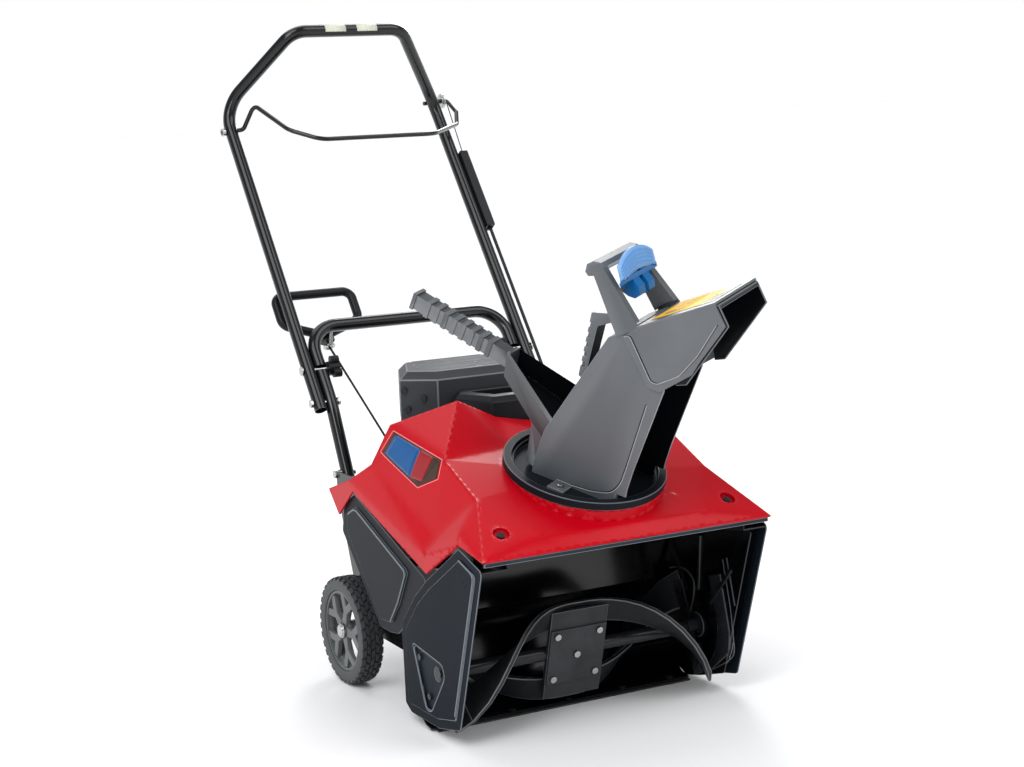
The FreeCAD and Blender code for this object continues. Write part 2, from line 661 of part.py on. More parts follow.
NODES["drive_belt"] = belt_loop(BELT_THICK).cut(belt_loop(0))
NODES["rotor_pulley"] = pulley(ROTOR_Y, ROTOR_Z, ROTOR_PULLEY, SHAFT_RADIUS)
NODES["engine_pulley"] = pulley(CRANK_Y, CRANK_Z, CRANK_PULLEY, 10)

IDLER_PIVOT_Y = -140.0
IDLER_PIVOT_Z = 290.0
IDLER_Y = -221.4
IDLER_Z = 255.6
IDLER_RADIUS = 16.0
ARM_X = 216.0
ARM_WIDTH = 8.0
idler_bar = rod_between(Vector(ARM_X + ARM_WIDTH / 2, IDLER_PIVOT_Y, IDLER_PIVOT_Z),
                        Vector(ARM_X + ARM_WIDTH / 2, IDLER_Y, IDLER_Z), 3.5)
idler_arm = fuse_all([
    rod_x(ARM_X, ARM_X + ARM_WIDTH, IDLER_PIVOT_Y, IDLER_PIVOT_Z, 9),
    rod_x(ARM_X, ARM_X + ARM_WIDTH, IDLER_Y, IDLER_Z, 7),
    rod_x(ARM_X + ARM_WIDTH, BELT_X + 9, IDLER_Y, IDLER_Z, 4),
    idler_bar,
])
idler_arm = idler_arm.cut(rod_x(200, 240, IDLER_PIVOT_Y, IDLER_PIVOT_Z, 5.05))
NODES["idler_arm"] = idler_arm
NODES["idler_pulley"] = ring_x(BELT_X - 2, BELT_X + 8, IDLER_Y, IDLER_Z, IDLER_RADIUS, 4.05)
idler_pin = rod_x(FRAME_X + 3, ARM_X + ARM_WIDTH + 1.5, IDLER_PIVOT_Y, IDLER_PIVOT_Z, 5)
NODES["frame_plates"] = Part.makeCompound([frame_plate.fuse(idler_pin), mirror(frame_plate)])

# --------------------------------------------------------------------- engine
crankcase = block(-60, 60, -165, -25, 151, 310)
cylinder = block(-46, 46, -140, -40, 310, 360)
for i in range(5):
    fin_z = 316 + 9 * i
    cylinder = cylinder.fuse(block(-56, 56, -150, -30, fin_z, fin_z + 3))
engine_block = crankcase.fuse(cylinder).fuse(block(-50, 50, -148, -42, 360, 400))
COVER_POSTS = [(-40, -66), (40, -66)]
for x, y in COVER_POSTS:
    engine_block = engine_block.fuse(Part.makeCylinder(6, 96, Vector(x, y, 400)))
engine_block = engine_block.cut(rod_x(-300, 300, CRANK_Y, CRANK_Z, 10.05))
NODES["engine_block"] = engine_block
crankshaft = rod_x(-140, BELT_X + BELT_WIDTH + 2, CRANK_Y, CRANK_Z, 10)
flywheel = rod_x(-92, -72, CRANK_Y, CRANK_Z, 66).cut(ring_x(-95, -84, CRANK_Y, CRANK_Z, 58, 20))
NODES["crankshaft"] = crankshaft.fuse(flywheel)
recoil = rod_x(-158, -64, CRANK_Y, CRANK_Z, 82).cut(rod_x(-155, -63, CRANK_Y, CRANK_Z, 79))
recoil = recoil.cut(rod_x(-160, -150, CRANK_Y, CRANK_Z, 20))
muffler = block(-135, -62, -20, 40, 330, 400)
NODES["muffler"] = muffler.makeFillet(12, muffler.Edges)
fuel_tank = block(75, 190, -140, 10, 300, 392)
NODES["fuel_tank"] = fuel_tank.makeFillet(14, fuel_tank.Edges)
NODES["fuel_cap"] = Part.makeCylinder(24, 16, Vector(140, -40, 392.2))

# charcoal engine cover: chamfered box with an open underside
COVER_PLAN = [(-101, -88), (-150, -48), (-100, 62), (62, 62), (62, -88)]
engine_cover = prism_z(COVER_PLAN, 428, 512)
top_edges = [edge for edge in engine_cover.Edges if edge.BoundBox.ZMin > 511]
engine_cover = engine_cover.makeChamfer(13, top_edges)
engine_cover = engine_cover.cut(prism_z(inset(COVER_PLAN, 3), 427, 496))
NODES["engine_cover"] = engine_cover
cover_bolt_direction = Vector(-42, -51, 0).normalize()
cover_bolts = []
for share, z in ((0.12, 483), (0.62, 470), (0.2, 452)):
    spot = Vector(-150 + 49 * share, -48 - 40 * share, z)
    bolt = Part.makeCylinder(5, 5, spot, cover_bolt_direction)
    cover_bolts.append(bolt.cut(engine_cover))
hood_screws = both_sides(hood_screw).Solids
NODES["body_bolts"] = Part.makeCompound(cover_bolts + slot_bolts + scraper_bolts + hood_screws)

# black air intake cover that fills the notch in the hood
INTAKE_PLAN = [(-74, -89), (-92, -128), (-62, -200), (62, -200), (92, -128), (74, -89)]
intake = prism_z(INTAKE_PLAN, 432, 480)
intake = intake.makeChamfer(9, [edge for edge in intake.Edges if edge.BoundBox.ZMin > 479])
intake = intake.cut(prism_z(inset(INTAKE_PLAN, 30), 468, 490))
intake = intake.cut(prism_z(inset(INTAKE_PLAN, 3), 431, 464))
NODES["intake_cover"] = intake.cut(NODES["hood"])

# --------------------------------------------------------------- lower handle
loop_path = [Vector(-LOOP_X, 62, 264), Vector(-LOOP_X, 95, 334), leg_point(-LOOP_X, 0),
             leg_point(-LOOP_X, 147.5), leg_point(LOOP_X, 147.5), leg_point(LOOP_X, 0),
             Vector(LOOP_X, 95, 334), Vector(LOOP_X, 62, 264)]
lower_handle = hollow_pipe(loop_path, [200, 220, 52, 52, 220, 200], TUBE_RADIUS, TUBE_WALL)


def slot_for_bolt(x0, x1):
    """Open slot, forward of the clamp bolt, that the bolt leaves by as the handle folds."""
    centre = leg_point(0, 0)
    outer = KNOB_DISTANCE + BOLT_RADIUS + 0.4
    inner = KNOB_DISTANCE - BOLT_RADIUS - 0.4
    ring_cut = ring_x(x0, x1, centre.y, centre.z, outer, inner)
    bolt = leg_point(0, KNOB_DISTANCE)
    keep = block(x0 - 5, x1 + 5, -80, 0, -40, 80)
    keep.rotate(Vector(0, 0, 0), Vector(1, 0, 0), -math.degrees(math.atan2(LEG_RUN, LEG_RISE)))
    keep.translate(Vector(0, bolt.y, bolt.z))
    hole = rod_x(x0, x1, bolt.y, bolt.z, BOLT_RADIUS + 0.4)
    return ring_cut.common(keep).fuse(hole)


for sign in (-1, 1):
    low, high = sorted((sign * (LOOP_X - 13), sign * (LOOP_X + 11.25)))
    lower_handle = lower_handle.cut(slot_for_bolt(low, high))
    lower_handle = lower_handle.cut(rod_x(low, high, FOLD_Y, FOLD_Z, BOLT_RADIUS))
for y, z in LOOP_BOLTS:
    lower_handle = lower_handle.cut(rod_x(-240, 240, y, z, BOLT_RADIUS))
NODES["lower_handle"] = lower_handle
loop_bolts = []
for y, z in LOOP_BOLTS:
    bolt = rod_x(LOOP_X - 14, FRAME_X + 3, y, z, BOLT_RADIUS)
    bolt = bolt.fuse(hex_head_x(FRAME_X + 3, FRAME_X + 7, y, z, 7))
    bolt = bolt.fuse(rod_x(LOOP_X + TUBE_RADIUS, FRAME_X, y, z, 7).cut(NODES["lower_handle"]))
    loop_bolts.append(bolt)
NODES["loop_bolts"] = both_sides(Part.makeCompound(loop_bolts))

# --------------------------------------------------------------- upper handle
KINK_DISTANCE = 617.0
TOP_HALF = 107.0
TOP_Y = 424.0
TOP_Z = 1070.0
kink_right = leg_point(-LEG_X, KINK_DISTANCE)
kink_left = leg_point(LEG_X, KINK_DISTANCE)
upper_path = [leg_point(-LEG_X, -14), kink_right, Vector(-TOP_HALF, TOP_Y, TOP_Z),
              Vector(TOP_HALF, TOP_Y, TOP_Z), kink_left, leg_point(LEG_X, -14)]
upper_handle = hollow_pipe(upper_path, [60, 45, 45, 60], TUBE_RADIUS, TUBE_WALL)
clamp = leg_point(0, KNOB_DISTANCE)
for sign in (-1, 1):
    low, high = sorted((sign * (LEG_X - 14), sign * (LEG_X + 14)))
    upper_handle = upper_handle.cut(rod_x(low, high, FOLD_Y, FOLD_Z, BOLT_RADIUS + 0.05))
    upper_handle = upper_handle.cut(rod_x(low, high, clamp.y, clamp.z, BOLT_RADIUS))

fold_bolt = rod_x(LOOP_X - 15, LEG_X + 13, FOLD_Y, FOLD_Z, BOLT_RADIUS)
fold_bolt = fold_bolt.fuse(hex_head_x(LEG_X + 11.6, LEG_X + 16, FOLD_Y, FOLD_Z, 7))
fold_bolt = fold_bolt.fuse(hex_head_x(LOOP_X - 16, LOOP_X - 11.1, FOLD_Y, FOLD_Z, 7).cut(lower_handle))
NODES["fold_bolts"] = both_sides(fold_bolt)

clamp_bolt = rod_x(LOOP_X - 26, LEG_X + 13, clamp.y, clamp.z, BOLT_RADIUS)
clamp_bolt = clamp_bolt.fuse(rod_x(LEG_X + 11.1, LEG_X + 14, clamp.y, clamp.z, 8).cut(upper_handle))
NODES["clamp_bolts"] = both_sides(clamp_bolt)


def clamp_knob():
    """Three-lobed hand knob on the inner end of the clamp bolt."""
    x0 = LOOP_X - 32
    x1 = LOOP_X - 12
    body = rod_x(x0 + 4, x1, clamp.y, clamp.z, 12)
    for i in range(3):
        angle = math.radians(90 + 120 * i)
        y = clamp.y + 14 * math.cos(angle)
        z = clamp.z + 14 * math.sin(angle)
        body = body.fuse(rod_x(x0, x1 - 6, y, z, 7.5))
    body = body.fuse(rod_x(x0, x0 + 5, clamp.y, clamp.z, 12))
    return body.cut(rod_x(x0 + 5, x1 + 5, clamp.y, clamp.z, BOLT_RADIUS + 0.05))


NODES["knob_left"] = clamp_knob()
NODES["knob_right"] = mirror(NODES["knob_left"])

# ----------------------------------------------------------------------- bail
BAIL_RADIUS = 4.0
BAIL_RIGHT = leg_point(-LEG_X, 567)
BAIL_LEFT = leg_point(LEG_X, 612)
BAIL_AXIS = (BAIL_LEFT - BAIL_RIGHT).normalize()


def on_bail_axis(x):
    return BAIL_RIGHT + BAIL_AXIS * ((x + LEG_X) / BAIL_AXIS.x)


def along_bail(x0, x1, radius):
    return rod_between(on_bail_axis(x0), on_bail_axis(x1), radius)


bail_path = [on_bail_axis(-229), on_bail_axis(-186), Vector(-172, 466, 943), Vector(-150, 362, 898),
             Vector(-105, 324, 880), Vector(116, 324, 880), Vector(226, 448, 892),
             Vector(241, 478, 914), on_bail_axis(241), on_bail_axis(190)]
bail = pipe(bail_path, [8, 16, 40, 40, 40, 14, 9, 7], BAIL_RADIUS)
bail_nut = along_bail(-228.5, -222.5, 7).cut(bail)
NODES["bail"] = bail
bail_hub = along_bail(226, 233, 9).fuse(along_bail(228, 231, 14)).cut(bail)
NODES["bail_fittings"] = Part.makeCompound([bail_nut, bail_hub])
upper_handle = upper_handle.cut(along_bail(-240, -190, BAIL_RADIUS + 0.05))
upper_handle = upper_handle.cut(along_bail(190, 224, BAIL_RADIUS + 0.05))
NODES["upper_handle"] = upper_handle

# -------------------------------------------------------------- control cable
CABLE_X = 231.5
SHEATH_RADIUS = 3.0
cable_cover = block(221.6, 238, -11, 11, 0, 168)
cable_cover = cable_cover.cut(block(223.6, 236, -9, 9, -1, 170))
cable_cover = cable_cover.fuse(block(221.6, 238, -11, 11, 0, 8)).cut(block(226, 236, -4, 4, -1, 10))
cable_cover.rotate(Vector(0, 0, 0), Vector(1, 0, 0), -math.degrees(math.atan2(LEG_RUN, LEG_RISE)))
cable_cover.translate(leg_point(0, 322))
NODES["cable_cover"] = cable_cover
CABLE_GAP = 4.5
inner_wire = rod_between(leg_point(229.5, 604, -15.2), leg_point(CABLE_X, 469, 0), 0.9)
sheath = rod_between(leg_point(CABLE_X, 470, 0), leg_point(CABLE_X, CABLE_GAP, 0), SHEATH_RADIUS)
NODES["control_cable_upper"] = sheath.fuse(inner_wire)
first_bend = Vector(CABLE_X, 72, 352)
pivot_way = (first_bend - leg_point(CABLE_X, 0, 0)).normalize()
lower_path = [leg_point(CABLE_X, 0, 0) + pivot_way * CABLE_GAP, first_bend, Vector(228, -60, 342),
              Vector(221, -138, 303)]
NODES["control_cable_lower"] = pipe(lower_path, [60, 60], SHEATH_RADIUS)

# -------------------------------------------------------------------- starter
ROPE_X = -146.0
ROPE_RADIUS = 2.0
GUIDE_Y = 240.0
GUIDE_Z = 525.0
PULL = Vector(0, LEG_RUN, LEG_RISE)
GUIDE = Vector(ROPE_X, GUIDE_Y, GUIDE_Z)
GRIP_BASE = GUIDE + PULL * 10
GRIP_REACH = 98.0
ROPE_SLOPE = math.radians(30.5)
ROPE_DRUM = 77.0
rope_end = Vector(ROPE_X, CRANK_Y - ROPE_DRUM * math.sin(ROPE_SLOPE),
                  CRANK_Z + ROPE_DRUM * math.cos(ROPE_SLOPE))
starter_rope = pipe([rope_end, GUIDE, GRIP_BASE + PULL * 12], [8], ROPE_RADIUS)
NODES["starter_rope"] = starter_rope
eyelet = Part.makeTorus(8.5, 2.5, GUIDE, Vector(0, 0.55, 0.84))
eyelet_stem = rod_between(Vector(ROPE_X, GUIDE_Y - 7.5, GUIDE_Z + 6), leg_point(ROPE_X, 147.5 - 10.5), 2.5)
NODES["rope_guide"] = largest(eyelet.fuse(eyelet_stem).cut(lower_handle))
recoil_slot = rod_between(rope_end, GUIDE, 4)
NODES["recoil_housing"] = recoil.cut(recoil_slot)

grip_bar_centre = GRIP_BASE + PULL * GRIP_REACH
GRIP_HALF = 72.0
across = Vector(GRIP_HALF, 0, 0)
grip_path = [GRIP_BASE + PULL * 12, GRIP_BASE + PULL * 40 + across, grip_bar_centre + across,
             grip_bar_centre - across, GRIP_BASE + PULL * 40 - across, GRIP_BASE + PULL * 12]
grip_side = pipe(grip_path[:3] + [grip_bar_centre], [18, 16], 8)
grip = grip_side.fuse(pipe(grip_path[:2:-1] + [grip_bar_centre], [18, 16], 8))
grip = grip.fuse(rod_between(GRIP_BASE, GRIP_BASE + PULL * 24, 13))
NODES["starter_grip"] = grip.cut(rod_between(GRIP_BASE - PULL, GRIP_BASE + PULL * 12, ROPE_RADIUS))

# ---------------------------------------------------------------- chute parts
RIM_GAP = 0.6
base = tube_z(RING_RADIUS - 4, 62, -18, -14)
base = base.fuse(tube_z(RING_RADIUS - RIM_GAP, RING_RADIUS - 4, -34, -6))
BODY_SIDE = [(-55, -14), (-55, 4), (-45, 60), (35, 240), (64, 262), (122, 248), (130, 228),
             (135, 189), (109, 51), (104, 15), (104, -14)]
BODY_HOLLOW = [(-51.5, -20), (-51.5, 4), (-41.5, 60), (38, 238), (66, 258), (100, 290),
               (240, 290), (240, -20)]
body = prism_x(throw_side(BODY_SIDE), -CHUTE_HALF, CHUTE_HALF)
hollow = prism_x(throw_side(BODY_HOLLOW), -CHUTE_HALF + CHUTE_WALL, CHUTE_HALF - CHUTE_WALL)
body = body.cut(hollow)
body = body.cut(tube_z(200, RING_RADIUS - 5, -20, 5))
body = body.cut(rod_x(-80, 80, -HINGE_Q, HINGE_H, 5))
FOOT_P = 77.0
FOOT_Q = 2.0
feet = []
screws = []
for sign in (-1, 1):
    foot = block(60, 90, -FOOT_Q - 14, -FOOT_Q + 14, -14, -10)
    foot = foot.cut(block(0, CHUTE_HALF, -60, 60, -20, 20))
    hole = Part.makeCylinder(3, 30, Vector(FOOT_P, -FOOT_Q, -25))
    screw = Part.makeCylinder(6, 4.5, Vector(FOOT_P, -FOOT_Q, -10))
    screw = screw.fuse(Part.makeCylinder(3, 10, Vector(FOOT_P, -FOOT_Q, -20)))
    if sign < 0:
        foot = mirror(foot)
        hole = mirror(hole)
        screw = mirror(screw)
    base = base.cut(hole)
    feet.append(foot.cut(hole))
    screws.append(screw)
body = body.fuse(feet[0]).fuse(feet[1])
NODES["chute_base"] = at_ring(base)
NODES["chute_screws"] = at_ring(Part.makeCompound(screws))

# turning arm: a tapered trough from the back of the chute into a ribbed grip
ARM_WALL = 3.0
ROOT_SIDE = CHUTE_HALF + 3.6


def arm_section(q, half, low, high, lean, rise):
    """Section across the arm: straight sides with shoulders that lean inwards at the top."""
    right = [Vector(half, -q, low), Vector(half, -q, high), Vector(half - lean, -q, high + rise)]
    left = [Vector(-corner.x, corner.y, corner.z) for corner in reversed(right)]
    return Part.makePolygon(right + left + right[:1])


trough = Part.makeLoft([arm_section(-28, ROOT_SIDE, 30, 72, 15, 17), arm_section(-151, 15, 96, 133, 4, 4)],
                       True, True)
trough_hollow = Part.makeLoft([arm_section(-27, ROOT_SIDE - ARM_WALL, 33, 70, 15.5, 90),
                               arm_section(-146, 14, 101, 132, 5, 50)], True, True)
ROOT_PLAN = [(-46, 76), (-ROOT_SIDE, 28), (-ROOT_SIDE, -8), (ROOT_SIDE, -8), (ROOT_SIDE, 28), (46, 76)]
root = prism_z(ROOT_PLAN, -10, 62).cut(prism_z(inset(ROOT_PLAN, ARM_WALL), -11, 63))
root = root.common(prism_x(throw_side([(-80, -12), (-80, 58), (-28, 34), (0, 34), (0, -12)]), -90, 90))
arm = trough.fuse(root).cut(trough_hollow)
ROOT_CHEEK = [(-29, -10), (12, -10), (12, -5), (7, 36), (-16, 73), (-21, 90), (-29, 88)]
for sign in (-1, 1):
    cheek = prism_x(throw_side(ROOT_CHEEK), CHUTE_HALF, ROOT_SIDE)
    arm = arm.fuse(cheek if sign > 0 else mirror(cheek))
arm = arm.cut(prism_x(throw_side(BODY_SIDE), -CHUTE_HALF, CHUTE_HALF))
arm = arm.cut(tube_z(200, RING_RADIUS - 5, -20, 5))
GRIP_START = Vector(0, 149, 120)
GRIP_END = Vector(0, 331, 160)
grip_way = (GRIP_END - GRIP_START).normalize()


def grip_block(start, end, half_width, half_height):
    """Block along the arm's grip between two distances from where it starts."""
    piece = block(-half_width, half_width, start, end, -half_height, half_height)
    piece.rotate(Vector(0, 0, 0), Vector(1, 0, 0), math.degrees(math.atan2(grip_way.z, grip_way.y)))
    piece.translate(GRIP_START)
    return piece


grip_length = (GRIP_END - GRIP_START).Length
arm_grip = grip_block(0, grip_length, 11, 12)
arm_grip = arm_grip.fuse(grip_block(grip_length - 5, grip_length + 1, 13, 14))
RIB_COUNT = 8
for i in range(RIB_COUNT):
    start = 34 + 17 * i
    arm_grip = arm_grip.fuse(grip_block(start, start + 8, 12.5, 13.5))
arm = arm.fuse(arm_grip)
NODES["chute_arm"] = at_ring(largest(arm.cut(body)))

# deflector: side cheeks outside the chute walls, a top plate and a handle frame
CHEEK_IN = CHUTE_HALF + 0.5
CHEEK_OUT = CHUTE_HALF + 4.0
CHEEK_SKIN = 1.2
CHEEK = [(82, 272), (190, 344), (211, 318), (183, 255), (174, 231), (131, 189), (112, 189), (60, 252)]
FRAME_FOOT = [(49, 249), (84, 270)]
FRAME_HEAD = [(-14, 332), (1, 342)]
FRAME_HEAD_HALF = 54.0
RAIL_DEPTH = 12.0


def rail_section(ends, half):
    (q0, h0), (q1, h1) = ends
    inner = half - RAIL_DEPTH
    corners = [Vector(half, -q0, h0), Vector(half, -q1, h1), Vector(inner, -q1, h1), Vector(inner, -q0, h0)]
    return Part.makePolygon(corners + corners[:1])


deflector_parts = []
for sign in (-1, 1):
    cheek = prism_x(throw_side(CHEEK), CHEEK_IN, CHEEK_OUT)
    rail = Part.makeLoft([rail_section(FRAME_FOOT, CHEEK_OUT), rail_section(FRAME_HEAD, FRAME_HEAD_HALF)],
                         True, True)
    rail = rail.cut(rod_x(0, CHEEK_IN, -HINGE_Q, HINGE_H, 60))
    for piece in (cheek, rail):
        deflector_parts.append(piece if sign > 0 else mirror(piece))
TOP_PLATE = [(80, 270), (190, 344), (188, 347), (78, 273)]
deflector_parts.append(prism_x(throw_side(TOP_PLATE), -CHEEK_OUT, CHEEK_OUT))
HEAD_SIDE = [(-21, 322), (-15, 317), (-4, 321), (-2, 327), (7, 337), (2, 343), (-10, 342), (-20, 334)]
deflector_parts.append(prism_x(throw_side(HEAD_SIDE), -FRAME_HEAD_HALF, FRAME_HEAD_HALF))
deflector = fuse_all(deflector_parts)
deflector = deflector.cut(rod_x(CHEEK_SKIN - CHEEK_OUT, CHEEK_OUT - CHEEK_SKIN, -HINGE_Q, HINGE_H, 5.05))
LINER = [(120, 296.5), (187, 341.5), (194, 345), (215, 318.5), (168, 212), (152, 205), (140, 236), (138, 280)]
liner = prism_x(throw_side(LINER), -CHEEK_IN, CHEEK_IN)
LINER_HOLLOW = [(100, 279), (123, 294.5), (190, 339.5), (250, 339), (250, 180), (100, 180)]
liner = liner.cut(prism_x(throw_side(LINER_HOLLOW), -CHEEK_IN + 3, CHEEK_IN - 3))
liner = liner.cut(deflector)
hinge_bolts = rod_x(CHUTE_HALF - CHUTE_WALL - 4, CHEEK_OUT - CHEEK_SKIN - 0.3, -HINGE_Q, HINGE_H, 5)
hinge_head = rod_x(CHUTE_HALF - CHUTE_WALL - 7, CHUTE_HALF - CHUTE_WALL, -HINGE_Q, HINGE_H, 9)
hinge_bolts = hinge_bolts.fuse(hinge_head)

# thumb trigger: an arched pad on two legs that hang from a pin across the frame
TRIGGER_HALF = 50.0
TRIGGER_PIN = Vector(0, -30, 305)
PAD_SIDE = [(17, 356), (22, 360), (41, 322), (36, 315), (27, 330)]
LEG_SIDE = [(18, 345), (24, 350), (41, 321), (52, 313), (56, 302), (49, 294), (38, 294), (25, 298), (21, 312)]
PAD_TOP = (18.0, 356.0)
PAD_LEAN = 65.0
PAD_ARCH = 78.0
PAD_DEPTH = 33.0
PAD_HOLLOW = 130.0


def pad_disc(radius, top):
    """Disc square to the pad's face, with its highest point a distance down the pad from its top."""
    lean = math.radians(PAD_LEAN)
    drop = top + radius
    disc = Part.makeCylinder(radius, 60, Vector(0, 0, -30))
    disc.rotate(Vector(0, 0, 0), Vector(1, 0, 0), 180 - PAD_LEAN)
    disc.translate(Vector(0, -PAD_TOP[0] - drop * math.cos(lean), PAD_TOP[1] - drop * math.sin(lean)))
    return disc


trigger = prism_x(throw_side(PAD_SIDE), -TRIGGER_HALF, TRIGGER_HALF)
trigger = trigger.common(pad_disc(PAD_ARCH, 0)).cut(pad_disc(PAD_HOLLOW, PAD_DEPTH))
for sign in (-1, 1):
    leg = prism_x(throw_side(LEG_SIDE), 5, 23)
    trigger = trigger.fuse(leg if sign > 0 else mirror(leg))
trigger = trigger.cut(rod_x(-80, 80, TRIGGER_PIN.y, TRIGGER_PIN.z, 3.05))
trigger_pin = rod_x(-50, 50, TRIGGER_PIN.y, TRIGGER_PIN.z, 3)
deflector = deflector.fuse(trigger_pin)
rack_points = [(-12, 134), (-27, 142), (-21, 246), (8, 254), (37, 245), (33, 235), (12, 240),
               (-8, 228), (-14, 160), (-8, 140)]
rack = prism_x(throw_side(rack_points), -14, 14)
for i in range(5):
    rack = rack.cut(block(-15, 15, 18, 30, 158 + 16 * i, 166 + 16 * i).cut(block(-10, 10, 0, 40, 0, 400)))
NODES["chute_body"] = at_ring(body.fuse(rack))
NODES["deflector"] = at_ring(deflector)
NODES["deflector_liner"] = at_ring(largest(liner))
NODES["deflector_bolts"] = at_ring(both_sides(hinge_bolts))
NODES["trigger"] = at_ring(trigger)

# --------------------------------------------------------------------- export
os.makedirs("parts", exist_ok=True)
for name, shape in NODES.items():
    moved = shape.copy()
    moved.translate(Vector(0, AXLE_Y, 0))
    moved.exportStep("parts/" + name + ".step")
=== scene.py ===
import json
import math

import bmesh
import bpy
from mathutils import Matrix, Vector
from mathutils.bvhtree import BVHTree


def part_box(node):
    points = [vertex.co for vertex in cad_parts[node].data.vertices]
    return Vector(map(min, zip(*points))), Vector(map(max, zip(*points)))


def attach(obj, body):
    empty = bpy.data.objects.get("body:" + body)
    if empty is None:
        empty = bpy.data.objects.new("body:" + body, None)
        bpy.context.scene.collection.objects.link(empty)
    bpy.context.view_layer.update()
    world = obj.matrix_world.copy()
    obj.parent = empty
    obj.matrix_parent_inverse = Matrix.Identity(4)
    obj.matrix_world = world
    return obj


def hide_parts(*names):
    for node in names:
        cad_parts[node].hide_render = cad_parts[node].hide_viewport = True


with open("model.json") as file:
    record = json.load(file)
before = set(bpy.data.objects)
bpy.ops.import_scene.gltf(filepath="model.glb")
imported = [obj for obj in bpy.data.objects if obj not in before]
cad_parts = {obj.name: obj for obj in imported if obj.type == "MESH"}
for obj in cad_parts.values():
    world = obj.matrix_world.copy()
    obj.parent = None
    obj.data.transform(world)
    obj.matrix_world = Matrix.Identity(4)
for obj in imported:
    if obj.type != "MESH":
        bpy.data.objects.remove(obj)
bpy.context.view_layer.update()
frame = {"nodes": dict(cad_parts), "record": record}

MM = 0.001
NODES = frame["nodes"]
RECORD = frame["record"]
BODIES = RECORD["behaviour"]["bodies"]
JOINTS = {joint["name"]: joint for joint in RECORD["behaviour"]["joints"]}
BODY_OF = {node: body for body, nodes in BODIES.items() for node in nodes}
SLOT_OF = {part["node"]: part["material_slot"] for part in RECORD["subparts"]}


def corners(node):
    """Low and high corners of a CAD node's box, in metres."""
    low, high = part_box(node)
    return Vector(low), Vector(high)


def middle(node):
    """Centre of a CAD node's box, in metres."""
    low, high = corners(node)
    return (low + high) / 2


AXLE = middle("axle")


def at(x, y, z):
    """Point given in millimetres from the wheel axle in y, and from the ground in z."""
    return Vector((x * MM, AXLE.y + y * MM, z * MM))


# the chute's own frame: p across it, q along the throw, h up the ring's axis
RING = Vector(JOINTS["chute_turn"]["pos_m"])
UP_CHUTE = Vector(JOINTS["chute_turn"]["axis"]).normalized()
ACROSS = Vector(JOINTS["deflector_tilt"]["axis"]).normalized()
THROW = ACROSS.cross(UP_CHUTE).normalized()


def chute_at(p, q, h):
    """Point given in millimetres in the chute's own frame."""
    return RING + (ACROSS * p + THROW * q + UP_CHUTE * h) * MM


# ------------------------------------------------------------------ materials
def linear(r, g, b):
    """Screen colour, 0 to 255, as the linear colour a shader takes."""
    shares = [c / 255 for c in (r, g, b)]
    return tuple(((c + 0.055) / 1.055) ** 2.4 if c > 0.04 else c / 12.92 for c in shares) + (1.0,)


def scaled(color, factor):
    """Colour made darker or lighter, and kept within white."""
    return tuple(min(1.0, c * factor) for c in color[:3]) + (1.0,)


MATERIALS = {}


